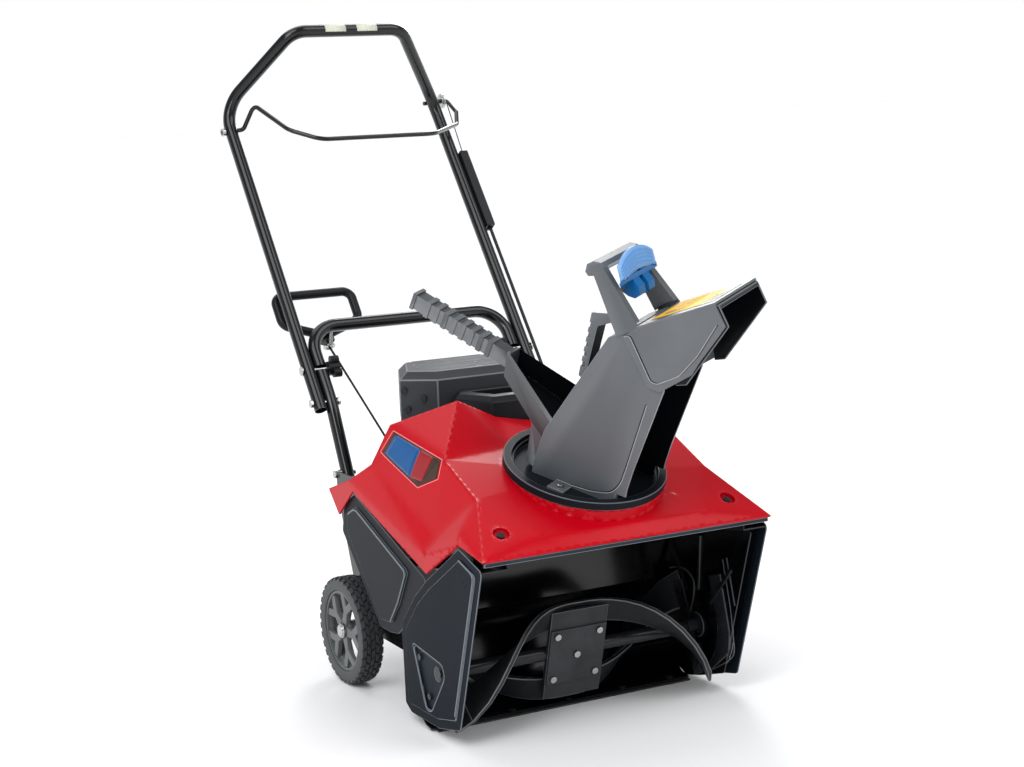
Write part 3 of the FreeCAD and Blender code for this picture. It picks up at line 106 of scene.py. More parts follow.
def make_material(name, color, rough, metal=0.0, vary=0.12, patch=14.0, grain=700.0, bump=0.08,
                  wear_and_highlight=None, wear_and_highlight_start=0.53, wear_and_highlight_end=0.62, coat=0.0, streak=None, rough_vary=0.08,
                  specular=0.32):
    """Surface with slow colour drift, fine grain in the bump, and paler or darker edges found by pointiness:
    edge wear together with a painted highlight.
    """
    material = bpy.data.materials.new(name)
    material.use_nodes = True
    tree = material.node_tree
    shader = tree.nodes["Principled BSDF"]
    shader.inputs["Metallic"].default_value = metal
    shader.inputs["Specular IOR Level"].default_value = specular
    shader.inputs["Coat Weight"].default_value = coat
    shader.inputs["Coat Roughness"].default_value = 0.12
    place = tree.nodes.new("ShaderNodeTexCoord")
    stretch = tree.nodes.new("ShaderNodeMapping")
    stretch.inputs["Scale"].default_value = streak or (1.0, 1.0, 1.0)
    tree.links.new(place.outputs["Object"], stretch.inputs["Vector"])
    drift = tree.nodes.new("ShaderNodeTexNoise")
    drift.inputs["Scale"].default_value = patch
    drift.inputs["Detail"].default_value = 5.0
    drift.inputs["Roughness"].default_value = 0.6
    tree.links.new(stretch.outputs["Vector"], drift.inputs["Vector"])
    tint = tree.nodes.new("ShaderNodeMix")
    tint.data_type = "RGBA"
    tint.inputs["A"].default_value = scaled(color, 1 - vary)
    tint.inputs["B"].default_value = scaled(color, 1 + vary)
    tree.links.new(drift.outputs["Fac"], tint.inputs["Factor"])
    result = tint.outputs["Result"]
    # edges picked by pointiness take a paler colour: edge wear together with a painted highlight
    if wear_and_highlight:
        edges = tree.nodes.new("ShaderNodeNewGeometry")
        sharpness = tree.nodes.new("ShaderNodeMapRange")
        sharpness.inputs["From Min"].default_value = wear_and_highlight_start
        sharpness.inputs["From Max"].default_value = wear_and_highlight_end
        tree.links.new(edges.outputs["Pointiness"], sharpness.inputs["Value"])
        breakup = tree.nodes.new("ShaderNodeMath")
        breakup.operation = "MULTIPLY"
        tree.links.new(sharpness.outputs["Result"], breakup.inputs[0])
        tree.links.new(drift.outputs["Fac"], breakup.inputs[1])
        worn_and_highlit = tree.nodes.new("ShaderNodeMix")
        worn_and_highlit.data_type = "RGBA"
        worn_and_highlit.inputs["B"].default_value = wear_and_highlight
        tree.links.new(breakup.outputs["Value"], worn_and_highlit.inputs["Factor"])
        tree.links.new(result, worn_and_highlit.inputs["A"])
        result = worn_and_highlit.outputs["Result"]
    tree.links.new(result, shader.inputs["Base Color"])
    gloss = tree.nodes.new("ShaderNodeMapRange")
    gloss.inputs["To Min"].default_value = max(0.02, rough - rough_vary)
    gloss.inputs["To Max"].default_value = rough + rough_vary
    tree.links.new(drift.outputs["Fac"], gloss.inputs["Value"])
    tree.links.new(gloss.outputs["Result"], shader.inputs["Roughness"])
    fine = tree.nodes.new("ShaderNodeTexNoise")
    fine.inputs["Scale"].default_value = grain
    fine.inputs["Detail"].default_value = 3.0
    tree.links.new(stretch.outputs["Vector"], fine.inputs["Vector"])
    relief = tree.nodes.new("ShaderNodeBump")
    relief.inputs["Strength"].default_value = bump
    relief.inputs["Distance"].default_value = 0.0006
    tree.links.new(fine.outputs["Fac"], relief.inputs["Height"])
    tree.links.new(relief.outputs["Normal"], shader.inputs["Normal"])
    MATERIALS[name] = material
    return material


make_material("hood_red", linear(190, 2, 22), 0.30, vary=0.07, patch=5, grain=1400, bump=0.02,
              rough_vary=0.05, specular=0.18)
# the pale materials made for rounded edges and beads are painted highlights
make_material("hood_highlight", linear(246, 128, 132), 0.24, vary=0.06, patch=20, grain=1400, bump=0.02)
make_material("dark_plastic", linear(24, 28, 33), 0.34, vary=0.12, grain=1600, bump=0.10, specular=0.06,
              wear_and_highlight=linear(84, 90, 98))
make_material("dark_plastic_highlight", linear(92, 98, 104), 0.30, vary=0.12, grain=1600, bump=0.08)
make_material("plate_paint", linear(22, 29, 37), 0.30, vary=0.12, patch=7, grain=1300, bump=0.05,
              specular=0.03, wear_and_highlight=linear(96, 104, 112))
make_material("plate_highlight", linear(120, 127, 134), 0.24, vary=0.10, patch=12, grain=1300, bump=0.04)
make_material("housing_paint", linear(5, 6, 8), 0.16, vary=0.2, patch=6, grain=700, bump=0.05,
              wear_and_highlight=linear(60, 63, 68), coat=0.2)
make_material("housing_highlight", linear(74, 78, 82), 0.2, vary=0.2, patch=20, grain=700, bump=0.05)
make_material("chute_plastic", linear(86, 90, 94), 0.34, vary=0.07, patch=8, grain=1500, bump=0.10,
              wear_and_highlight=linear(150, 154, 158), wear_and_highlight_start=0.51, wear_and_highlight_end=0.6, specular=0.45)
make_material("chute_highlight", linear(156, 160, 164), 0.28, vary=0.07, patch=20, grain=1500, bump=0.08)
# near-black painted shade for the chute's inside and for the lines beside its beads
make_material("chute_painted_shade", linear(9, 11, 14), 0.42, vary=0.15, patch=12, grain=1200, bump=0.1,
              specular=0.05)
make_material("arm_plastic", linear(54, 58, 61), 0.30, vary=0.09, patch=10, grain=1500, bump=0.10,
              wear_and_highlight=linear(150, 154, 158), wear_and_highlight_start=0.51, wear_and_highlight_end=0.6, specular=0.4)
make_material("cover_plastic", linear(54, 57, 60), 0.42, vary=0.09, patch=12, grain=1500, bump=0.14,
              wear_and_highlight=linear(120, 124, 128), specular=0.2)
make_material("cover_highlight", linear(112, 116, 120), 0.38, vary=0.09, patch=12, grain=1500, bump=0.12)
make_material("cover_black", linear(21, 22, 25), 0.34, vary=0.12, patch=14, grain=1500, bump=0.12,
              wear_and_highlight=linear(84, 86, 90), specular=0.2)
make_material("tube_black", linear(13, 15, 17), 0.16, vary=0.15, patch=12, grain=400, bump=0.04, coat=0.3)
make_material("steel", linear(186, 188, 186), 0.26, metal=1.0, vary=0.12, patch=60, grain=1200, bump=0.08,
              streak=(1.0, 1.0, 0.3))
make_material("black_bolt", linear(26, 27, 29), 0.32, metal=0.4, vary=0.15, patch=60, grain=1200, bump=0.10,
              wear_and_highlight=linear(110, 112, 114))
make_material("rotor_rubber", linear(24, 26, 29), 0.42, vary=0.2, patch=14, grain=700, bump=0.22,
              wear_and_highlight=linear(96, 98, 100), wear_and_highlight_start=0.51, wear_and_highlight_end=0.6, specular=0.2)
make_material("rotor_highlight", linear(112, 114, 116), 0.4, vary=0.2, patch=30, grain=700, bump=0.2)
make_material("rotor_paint", linear(14, 15, 18), 0.24, vary=0.15, patch=16, grain=900, bump=0.06,
              wear_and_highlight=linear(100, 102, 106), specular=0.3)
make_material("engine_alloy", linear(118, 120, 122), 0.46, metal=0.85, vary=0.12, patch=25, grain=420,
              bump=0.35)
make_material("muffler_steel", linear(92, 88, 82), 0.5, metal=0.9, vary=0.24, patch=22, grain=500, bump=0.2)
make_material("tank_plastic", linear(196, 194, 184), 0.45, vary=0.06, grain=1200, bump=0.08)
make_material("rim_plastic", linear(96, 100, 100), 0.42, vary=0.10, patch=20, grain=1400, bump=0.12,
              wear_and_highlight=linear(140, 143, 143))
make_material("tyre_rubber", linear(38, 40, 43), 0.58, vary=0.2, patch=30, grain=1100, bump=0.3,
              wear_and_highlight=linear(92, 95, 98), specular=0.25)
make_material("tyre_side", linear(84, 87, 87), 0.62, vary=0.14, patch=26, grain=1100, bump=0.25,
              specular=0.2)
make_material("belt_rubber", linear(16, 16, 16), 0.7, vary=0.2, grain=900, bump=0.3)
make_material("rope_nylon", linear(24, 24, 26), 0.7, vary=0.3, patch=400, grain=1500, bump=0.5)
make_material("trigger_blue", linear(96, 156, 222), 0.36, vary=0.09, patch=60, grain=1500, bump=0.10,
              wear_and_highlight=linear(166, 200, 236))
make_material("trigger_deep", linear(0, 98, 166), 0.38, vary=0.10, patch=20, grain=1500, bump=0.10,
              wear_and_highlight=linear(90, 160, 220))
make_material("liner_black", linear(8, 10, 14), 0.32, vary=0.2, patch=10, grain=1100, bump=0.10,
              specular=0.12, wear_and_highlight=linear(84, 88, 92))
make_material("liner_highlight", linear(104, 108, 108), 0.34, vary=0.12, patch=20, grain=1100, bump=0.10)
make_material("scraper_plastic", linear(16, 17, 20), 0.45, vary=0.2, grain=1000, bump=0.2, specular=0.15,
              wear_and_highlight=linear(84, 86, 90))
make_material("label_yellow", linear(238, 182, 40), 0.6, vary=0.10, patch=22, grain=1500, bump=0.05,
              specular=0.08)
make_material("label_pale", linear(238, 216, 130), 0.6, vary=0.06, patch=40, grain=1500, bump=0.05,
              specular=0.08)
make_material("label_white", linear(216, 216, 200), 0.45, vary=0.05, patch=60, grain=1500, bump=0.05,
              specular=0.08)
make_material("label_grey", linear(150, 138, 92), 0.45, vary=0.2, patch=120, grain=1500, bump=0.05,
              specular=0.08)
make_material("badge_blue", linear(4, 82, 142), 0.30, vary=0.2, patch=60, grain=1500, bump=0.04)
make_material("badge_red", linear(150, 10, 20), 0.30, vary=0.12, patch=60, grain=1500, bump=0.04)
make_material("badge_frame", linear(60, 36, 24), 0.42, vary=0.25, patch=40, grain=1500, bump=0.08)
# pale painted highlight given to the rounded edges of each finish
EDGE_HIGHLIGHT = {"plate_paint": "plate_highlight", "chute_plastic": "chute_highlight", "cover_plastic": "cover_highlight",
             "housing_paint": "housing_highlight", "hood_red": "hood_highlight", "dark_plastic": "dark_plastic_highlight",
             "rotor_rubber": "rotor_highlight", "liner_black": "liner_highlight", "arm_plastic": "chute_highlight"}
FINISHES = {"chute_arm": "arm_plastic"}


# -------------------------------------------------------------------- helpers
def add_piece(name, bm, body, material):
    """Smooth object made from a bmesh, riding on a body of the CAD model."""
    mesh = bpy.data.meshes.new(name)
    bm.to_mesh(mesh)
    bm.free()
    piece = bpy.data.objects.new(name, mesh)
    bpy.context.scene.collection.objects.link(piece)
    mesh.materials.append(MATERIALS[material])
    for polygon in mesh.polygons:
        polygon.use_smooth = True
    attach(piece, body)
    return piece


def soften(piece, width, segments=2, angle=32, tint=None):
    """Rounded edges with flat faces kept flat, and a pale painted highlight on the rounding if a tint is
    given.
    """
    bevel = piece.modifiers.new("edges", "BEVEL")
    bevel.width = width * MM
    bevel.segments = segments
    bevel.limit_method = "ANGLE"
    bevel.angle_limit = math.radians(angle)
    bevel.miter_outer = "MITER_ARC"
    bevel.use_clamp_overlap = True
    # the tint is a painted highlight laid on the bevel
    if tint:
        piece.data.materials.append(MATERIALS[tint])
        bevel.material = len(piece.data.materials) - 1
    normals = piece.modifiers.new("normals", "WEIGHTED_NORMAL")
    normals.weight = 60
    normals.keep_sharp = True


def cad_bmesh(node, flat=0.6):
    """CAD node's mesh with its flat faces whole again."""
    bm = bmesh.new()
    bm.from_mesh(NODES[node].data)
    bmesh.ops.remove_doubles(bm, verts=bm.verts, dist=2e-6)
    bmesh.ops.dissolve_limit(bm, angle_limit=math.radians(flat), verts=bm.verts, edges=bm.edges)
    return bm


def refined(node, width, segments=2, angle=32, material=None):
    """Copy of a CAD node with rounded edges, standing for that node."""
    finish = material or FINISHES.get(node) or SLOT_OF[node]
    piece = add_piece(node + "_skin", cad_bmesh(node), BODY_OF[node], finish)
    soften(piece, width, segments, angle, EDGE_HIGHLIGHT.get(finish))
    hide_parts(node)
    return piece


EDGE_WIDTHS = {
    "auger_housing": 0.6, "side_plate_left": 1.2, "side_plate_right": 1.2, "scraper_bar": 0.8,
    "front_lip": 1.0, "chute_ring": 1.2, "side_covers": 1.6, "engine_deck": 0.8, "axle_caps": 1.0,
    "axle": 0.6, "body_bolts": 0.7, "frame_plates": 0.8, "rotor_bearings": 0.7, "engine_block": 1.5,
    "recoil_housing": 2.0, "muffler": 1.0, "fuel_tank": 1.0, "engine_cover": 2.6, "intake_cover": 2.0,
    "lower_handle": 0.3, "loop_bolts": 0.6, "fold_bolts": 0.6, "drive_belt": 0.8,
    "control_cable_lower": 0.3, "rope_guide": 0.3, "starter_rope": 0.2, "rotor_shaft": 0.6,
    "rotor_bands": 1.4, "rotor_center_paddle": 1.6, "rotor_plate": 0.8, "rotor_arms": 0.8,
    "rotor_bolts": 0.9, "rotor_pulley": 0.5, "crankshaft": 0.6, "engine_pulley": 0.4, "idler_arm": 0.6,
    "idler_pulley": 0.6, "wheel_rim_left": 1.2, "wheel_rim_right": 1.2, "upper_handle": 0.3,
    "cable_cover": 1.6, "clamp_bolts": 0.6, "control_cable_upper": 0.2, "bail": 0.3,
    "bail_fittings": 0.6, "knob_left": 2.0, "knob_right": 2.0, "starter_grip": 0.8, "chute_base": 0.8,
    "chute_body": 1.2, "chute_arm": 1.4, "chute_screws": 0.9, "deflector_bolts": 1.0, "deflector": 1.4,
    "deflector_liner": 1.6, "trigger": 1.6, "fuel_cap": 2.0,
}
SKINS = {node: refined(node, width, 3 if width > 1.0 else 2) for node, width in EDGE_WIDTHS.items()}


def relaxed(bm, cell, rounds, sharp):
    """Cut a faceted shell into small faces and let its shallow folds settle into soft ones."""
    bmesh.ops.triangulate(bm, faces=bm.faces)
    for k in range(5):
        long_edges = [edge for edge in bm.edges if edge.calc_length() > cell * MM]
        if long_edges:
            bmesh.ops.subdivide_edges(bm, edges=long_edges, cuts=1, use_grid_fill=False)
            bmesh.ops.triangulate(bm, faces=bm.faces)
    held = set()
    for edge in bm.edges:
        if not edge.is_manifold or edge.calc_face_angle(0) > math.radians(sharp):
            held.update(edge.verts)
    free = [vert for vert in bm.verts if vert not in held]
    for k in range(rounds):
        bmesh.ops.smooth_vert(bm, verts=free, factor=0.5, use_axis_x=True, use_axis_y=True, use_axis_z=True)
    return bm


HOOD_CELL = 9
HOOD_ROUNDS = 7
HOOD_SHARP = 27


def hood_skin_piece():
    """Moulded hood: the CAD shell with soft folds between its sharper edges."""
    bm = relaxed(cad_bmesh("hood"), HOOD_CELL, HOOD_ROUNDS, HOOD_SHARP)
    piece = add_piece("hood_skin", bm, "machine", "hood_red")
    # the rounding of the hood's sharper folds takes a pale pink painted highlight
    soften(piece, 1.1, 2, HOOD_SHARP, "hood_highlight")
    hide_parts("hood")
    return piece


SKINS["hood"] = hood_skin_piece()


def rounded(points, reach, closed=False):
    """The same path with each corner replaced by a short curve that starts and ends reach away from it."""
    path = []
    count = len(points)
    for i, corner in enumerate(points):
        if not closed and i in (0, count - 1):
            path.append(corner)
            continue
        before, after = points[i - 1], points[(i + 1) % count]
        start = corner + (before - corner).normalized() * min(reach * MM, (before - corner).length * 0.45)
        end = corner + (after - corner).normalized() * min(reach * MM, (after - corner).length * 0.45)
        for k in range(6):
            t = k / 5
            path.append(start * (1 - t) ** 2 + corner * 2 * t * (1 - t) + end * t ** 2)
    return path


def bead(name, points, radius, body, material, reach=6, closed=False):
    """Round moulded bead along a path of points, half sunk into the surface that it lies on."""
    path = rounded(points, reach, closed)
    curve = bpy.data.curves.new(name, "CURVE")
    curve.dimensions = "3D"
    curve.bevel_depth = radius * MM
    curve.bevel_resolution = 2
    curve.use_fill_caps = True
    spline = curve.splines.new("POLY")
    spline.points.add(len(path) - 1)
    for point, place in zip(spline.points, path):
        point.co = (*place, 1.0)
    spline.use_cyclic_u = closed
    holder = bpy.data.objects.new(name + "_path", curve)
    bm = bmesh.new()
    bm.from_mesh(bpy.data.meshes.new_from_object(holder))
    bpy.data.objects.remove(holder)
    return add_piece(name, bm, body, material)


# ---------------------------------------------------------------------- tyres
TYRE_STEPS = 112
TREAD_ROWS = 5
TREAD_BLOCKS = 34
TREAD_DEPTH = 3.2 * MM


def tyre(node):
    """Carcass turned from a profile, with rows of staggered tread blocks."""
    low, high = corners(node)
    centre = (low + high) / 2
    radius = (high.z - low.z) / 2
    half = (high.x - low.x) / 2
    rim = (corners("wheel_rim_left")[1].z - corners("wheel_rim_left")[0].z) / 2
    deep = radius - TREAD_DEPTH
    side_steps = [(0.86, rim + 0.2 * MM), (0.97, rim + 1.5 * MM), (1.0, rim + 6 * MM),
                  (0.985, rim + 7.2 * MM), (1.0, rim + 8.4 * MM), (0.99, deep - 6 * MM),
                  (0.93, deep - 1.8 * MM), (0.8, deep)]
    profile = [(-share * half, r) for share, r in side_steps]
    profile += [(share * half, r) for share, r in side_steps[::-1]]
    bm = bmesh.new()
    rings = []
    for i in range(TYRE_STEPS):
        turn = 2 * math.pi * i / TYRE_STEPS
        y, z = math.cos(turn), math.sin(turn)
        rings.append([bm.verts.new((centre.x + x, centre.y + r * y, centre.z + r * z)) for x, r in profile])
    for i in range(TYRE_STEPS):
        here, there = rings[i], rings[(i + 1) % TYRE_STEPS]
        for k in range(len(profile)):
            after = (k + 1) % len(profile)
            bm.faces.new((here[k], here[after], there[after], there[k]))
    row_width = 2 * half / TREAD_ROWS
    for row in range(TREAD_ROWS):
        outer_row = row in (0, TREAD_ROWS - 1)
        x0 = -half + row * row_width + 0.9 * MM
        x1 = -half + (row + 1) * row_width - 0.9 * MM
        for i in range(TREAD_BLOCKS):
            start = 2 * math.pi * (i + 0.5 * (row % 2)) / TREAD_BLOCKS
            end = start + 2 * math.pi / TREAD_BLOCKS * (0.62 if outer_row else 0.78)
            skew = 0.022 * (1 if row % 2 else -1)
            block = []
            for x, lean in ((x0, -skew), (x1, skew)):
                top = radius - 0.15 * MM
                if outer_row and abs(x) > half - 2 * MM:
                    x = math.copysign(half - 0.4 * MM, x)
                    top = radius - 2.6 * MM
                for angle in (start + lean, end + lean):
                    for r in (deep - 3.5 * MM if outer_row else deep - 1 * MM, top):
                        block.append(bm.verts.new((centre.x + x, centre.y + r * math.cos(angle),
                                                   centre.z + r * math.sin(angle))))
            a, b, c, d, e, f, g, h = block
            for face in ((a, b, d, c), (e, g, h, f), (a, e, f, b), (c, d, h, g), (b, f, h, d), (a, c, g, e)):
                bm.faces.new(face)
    bmesh.ops.recalc_face_normals(bm, faces=bm.faces)
    piece = add_piece(node + "_tread", bm, BODY_OF[node], "tyre_rubber")
    piece.data.materials.append(MATERIALS["tyre_side"])
    for face in piece.data.polygons:
        reach = math.hypot(face.center.y - centre.y, face.center.z - centre.z)
        if abs(face.center.x - centre.x) > 0.9 * half and reach < radius - 4 * MM:
            face.material_index = 1
    soften(piece, 0.5, 2, 40)
    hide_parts(node)


tyre("tyre_left")
tyre("tyre_right")


SPOKES = 5
SPOKE_OUTLINE = [(13, -8), (33, -6.5), (57, -25), (64, -14), (46, 0), (64, 14), (57, 25), (33, 6.5), (13, 8)]


def spokes(side, body, slot):
    """Forked spokes standing just inside the outer face of the rim."""
    name = "right" if side < 0 else "left"
    low, high = corners("wheel_rim_" + name)
    centre = (low + high) / 2
    face_x = (low.x if side < 0 else high.x) - side * 1.6 * MM
    bm = bmesh.new()
    for i in range(SPOKES):
        turn = 2 * math.pi * (i + 0.5) / SPOKES
        loop = []
        for r, t in SPOKE_OUTLINE:
            y = r * math.cos(turn) - t * math.sin(turn)
            z = r * math.sin(turn) + t * math.cos(turn)
            loop.append(bm.verts.new((face_x, centre.y + y * MM, centre.z + z * MM)))
        face = bm.faces.new(loop)
        grown = bmesh.ops.extrude_face_region(bm, geom=[face])
        for item in grown["geom"]:
            if isinstance(item, bmesh.types.BMVert):
                item.co.x -= side * 8 * MM
    bmesh.ops.recalc_face_normals(bm, faces=bm.faces)
    soften(add_piece("wheel_spokes_" + name, bm, body, slot), 1.4, 3)


spokes(-1, "wheel_right", "rim_plastic")
spokes(1, "wheel_left", "rim_plastic")


# --------------------------------------------------------------------- labels
def plate(name, outline, normal, lift, thickness, body, material, edge=0.12):
    """Thin flat plate: an outline of points, raised off its surface along the normal."""
    bm = bmesh.new()
    face = bm.faces.new([bm.verts.new(point + normal * lift * MM) for point in outline])
    grown = bmesh.ops.extrude_face_region(bm, geom=[face])
    for item in grown["geom"]:
        if isinstance(item, bmesh.types.BMVert):
            item.co += normal * thickness * MM
    bmesh.ops.recalc_face_normals(bm, faces=bm.faces)
    piece = add_piece(name, bm, body, material)
    soften(piece, edge, 1)
    return piece


TOP_BACK = (84.0, 277.1)
TOP_FRONT = (186.0, 345.7)


def on_top(p, share):
    """Point of the deflector's top plate, a share of the way to its front."""
    q = TOP_BACK[0] + (TOP_FRONT[0] - TOP_BACK[0]) * share
    h = TOP_BACK[1] + (TOP_FRONT[1] - TOP_BACK[1]) * share
    return chute_at(p, q, h)


top_way = (THROW * (TOP_FRONT[0] - TOP_BACK[0]) + UP_CHUTE * (TOP_FRONT[1] - TOP_BACK[1])).normalized()
top_normal = ACROSS.cross(top_way).normalized()
if top_normal.z < 0:
    top_normal = -top_normal


def top_patch(name, p0, p1, s0, s1, lift, material):
    """Blank label on the deflector's top plate."""
    outline = [on_top(p0, s0), on_top(p1, s0), on_top(p1, s1), on_top(p0, s1)]
    plate(name, outline, top_normal, lift, 0.25, "deflector", material)


top_patch("label_base", -46, 46, 0.06, 0.50, 0.3, "label_yellow")
top_patch("label_middle", -46, 46, 0.505, 0.72, 0.3, "label_pale")
top_patch("label_end", -46, 46, 0.725, 0.93, 0.3, "label_white")
for i in range(4):
    top_patch("label_line_%d" % i, -36, 10 + 6 * (i % 2), 0.74 + 0.045 * i, 0.755 + 0.045 * i, 0.5,
              "label_grey")
top_patch("label_sign_a", -34, -16, 0.16, 0.4, 0.5, "label_grey")
top_patch("label_sign_b", 4, 30, 0.2, 0.24, 0.5, "label_grey")
top_patch("label_sign_c", 4, 34, 0.32, 0.36, 0.5, "label_grey")


# ------------------------------------------------------- moulded beads, chute: pale painted highlights, each with a dark painted shade line beside it
CHEEK_P = 66.2
CHEEK_BEAD = [(62, 252), (70, 256), (114, 199), (125, 199), (156, 223), (178, 262), (198, 316)]
WALL_P = 62.1
WALL_BEAD = [(113, 160), (99, 60), (93, 22), (80, 2), (48, -7), (14, -10)]
COVER_BEAD_X = 246.0
COVER_BEAD = [(-36, 290), (-62, 303), (-244, 235), (-211, 181), (-180, 144)]
PLATE_BEAD_X = 249.0
PLATE_BEAD = [(-432, 291), (-477, 277), (-399, 50)]
SLOT_BEAD = [(-263, 131), (-302, 35), (-321, 35), (-371, 100), (-364, 119)]
SHADE_LINE_SINK = 0.3
for side, name in ((-1, "right"), (1, "left")):
    bead("cheek_bead_" + name, [chute_at(side * CHEEK_P, q, h) for q, h in CHEEK_BEAD], 0.9, "deflector",
         "chute_highlight")
    # a near-black line beside each pale bead is painted shade, standing in for the shadow of a groove
    shade_line = [chute_at(side * (CHEEK_P - SHADE_LINE_SINK), q + 1.4, h + 1.2) for q, h in CHEEK_BEAD]
    bead("cheek_shade_line_" + name, shade_line, 0.8, "deflector", "chute_painted_shade")
    bead("wall_bead_" + name, [chute_at(side * WALL_P, q, h) for q, h in WALL_BEAD], 0.8, "chute",
         "chute_highlight", reach=12)
    shade_line = [chute_at(side * (WALL_P - SHADE_LINE_SINK), q - 1.5, h + 1.2) for q, h in WALL_BEAD]
    bead("wall_shade_line_" + name, shade_line, 0.7, "chute", "chute_painted_shade", reach=12)


# -------------------------------------- moulded beads, covers and side plates, in a pale painted highlight
for side, name in ((-1, "right"), (1, "left")):
    bead("cover_bead_" + name, [at(side * COVER_BEAD_X, y, z) for y, z in COVER_BEAD], 1.3, "machine",
         "plate_highlight", reach=12)
    bead("plate_bead_" + name, [at(side * PLATE_BEAD_X, y, z) for y, z in PLATE_BEAD], 1.2, "machine",
         "plate_highlight", reach=12)
bead("slot_bead", [at(-PLATE_BEAD_X + 0.5, y, z) for y, z in SLOT_BEAD], 1.0, "machine", "plate_highlight",
     reach=9, closed=True)

# embossed panels on the engine cover's top, outlined by beads in a pale painted highlight
COVER_TOP = corners("engine_cover")[1].z / MM
EMBOSSED = [[(-88, -62), (-14, -62), (-14, -26), (-112, -26)], [(-2, -62), (48, -62), (48, -26), (-2, -26)],
            [(-106, -14), (48, -14), (48, 14), (-96, 14)], [(-90, 26), (48, 26), (48, 48), (-82, 48)]]
for i, outline in enumerate(EMBOSSED):
    route = [at(x, y, 0) + Vector((0, 0, COVER_TOP - 0.2)) * MM for x, y in outline]
    bead("cover_emboss_%d" % i, route, 0.9, "machine", "cover_highlight", reach=5, closed=True)


def chute_frame(point):
    """A point's p, q and h in the chute's own frame, in millimetres."""
    away = (point - RING) / MM
    return away.dot(ACROSS), away.dot(THROW), away.dot(UP_CHUTE)


def paint_inner_shade(skin, is_inside):
    """Paint the faces of a skin that a test picks near black: painted shade inside the channel."""
    skin.data.materials.append(MATERIALS["chute_painted_shade"])
    for face in skin.data.polygons:
        p, q, h = chute_frame(face.center)
        if is_inside(p, q, h, face.normal):
            face.material_index = len(skin.data.materials) - 1


def inside_body(p, q, h, normal):
    """Whether a face of the chute body looks into the channel."""
    to_middle = -ACROSS * p + THROW * (60 - q)
    return abs(p) < 59 and h > -13 and normal.dot(to_middle) > 0 and q < 130


def inside_arm(p, q, h, normal):
    """Whether a face of the turning arm is on its hollow side."""
    faces_in = normal.dot(ACROSS) * p < -0.3 * abs(p)
    on_floor = normal.dot(UP_CHUTE) > 0.4 and h < 33 + (-27 - q) * 0.57 + 8
    return -148 < q < -10 and abs(p) < 64 and (faces_in or on_floor)


# faces looking into the channel and the arm's hollow are painted near black as shade
paint_inner_shade(SKINS["chute_body"], inside_body)
paint_inner_shade(SKINS["chute_arm"], inside_arm)

# the trigger's legs are a deeper blue than its ribbed finger pad
PAD_TOP = (22.0, 360.0)
PAD_WAY = (0.447, -0.894)
PAD_IN = (-0.894, -0.447)
PAD_HALF = 49.0
PAD_ARCH = 78.0
PAD_DEPTH = 33.0
PAD_HOLLOW = 130.0
PAD_LENGTH = 42.0
PAD_THICK = 5.0
PAD_RIBS = 5


def pad_point(p, share, sunk):
    """Point of the arched pad, a share of the way from its top edge to its low one."""
    top = PAD_ARCH - math.sqrt(PAD_ARCH ** 2 - p ** 2)
    low = min(PAD_LENGTH, PAD_DEPTH + PAD_HOLLOW - math.sqrt(PAD_HOLLOW ** 2 - p ** 2))
    down = top + (low - top) * share
    return chute_at(p, PAD_TOP[0] + down * PAD_WAY[0] + sunk * PAD_IN[0],
                    PAD_TOP[1] + down * PAD_WAY[1] + sunk * PAD_IN[1])


def closed_sheet(name, low, high, body, material, slot):
    """Solid between two grids of points that match."""
    bm = bmesh.new()
    layers = [[[bm.verts.new(point) for point in row] for row in rows] for rows in (low, high)]
    last_row, last = len(low) - 1, len(low[0]) - 1
    for rows in layers:
        for i in range(last_row):
            for k in range(last):
                bm.faces.new((rows[i][k], rows[i][k + 1], rows[i + 1][k + 1], rows[i + 1][k]))
    rims = [[(0, k) for k in range(last + 1)], [(last_row, k) for k in range(last + 1)],
            [(k, 0) for k in range(last_row + 1)], [(k, last) for k in range(last_row + 1)]]
    under, over = layers
    for rim in rims:
        for (i, k), (m, n) in zip(rim, rim[1:]):
            bm.faces.new((under[i][k], under[m][n], over[m][n], over[i][k]))
    bmesh.ops.recalc_face_normals(bm, faces=bm.faces)
    return add_piece(name, bm, body, material)


trigger_skin = SKINS["trigger"]
trigger_skin.data.materials.clear()
trigger_skin.data.materials.append(MATERIALS["trigger_deep"])
across_pad = [PAD_HALF * (k / 12 - 1) for k in range(25)]
pad_sides = [[[pad_point(p, row / 4, sunk) for p in across_pad] for row in range(5)]
             for sunk in (PAD_THICK, 0)]
closed_sheet("trigger_pad", *pad_sides, "trigger", "trigger_blue", "trigger_blue")
for i in range(PAD_RIBS):
    rib = [pad_point(p * 0.93, (i + 0.8) / (PAD_RIBS + 0.6), 0) for p in across_pad]
    bead("trigger_rib_%d" % i, rib, 0.9, "trigger", "trigger_blue", reach=2)


# ------------------------------------------------------- hood badge
hood_skin = SKINS["hood"]
hood_bm = bmesh.new()
hood_bm.from_mesh(hood_skin.data)
hood_tree = BVHTree.FromBMesh(hood_bm)
BADGE = {"back_top": (206, -134, 434), "back_low": (223, -123, 402), "low": (230, -248, 371),
         "front_low": (218, -294, 389), "front_top": (204, -292, 413)}
BADGE_SPLIT = 0.60
BADGE_INNER = 0.90
BADGE_RIM = 1.05
RIM_STEPS = 8
PATCH_STEPS = 10
SEEK_FROM = 40 * MM


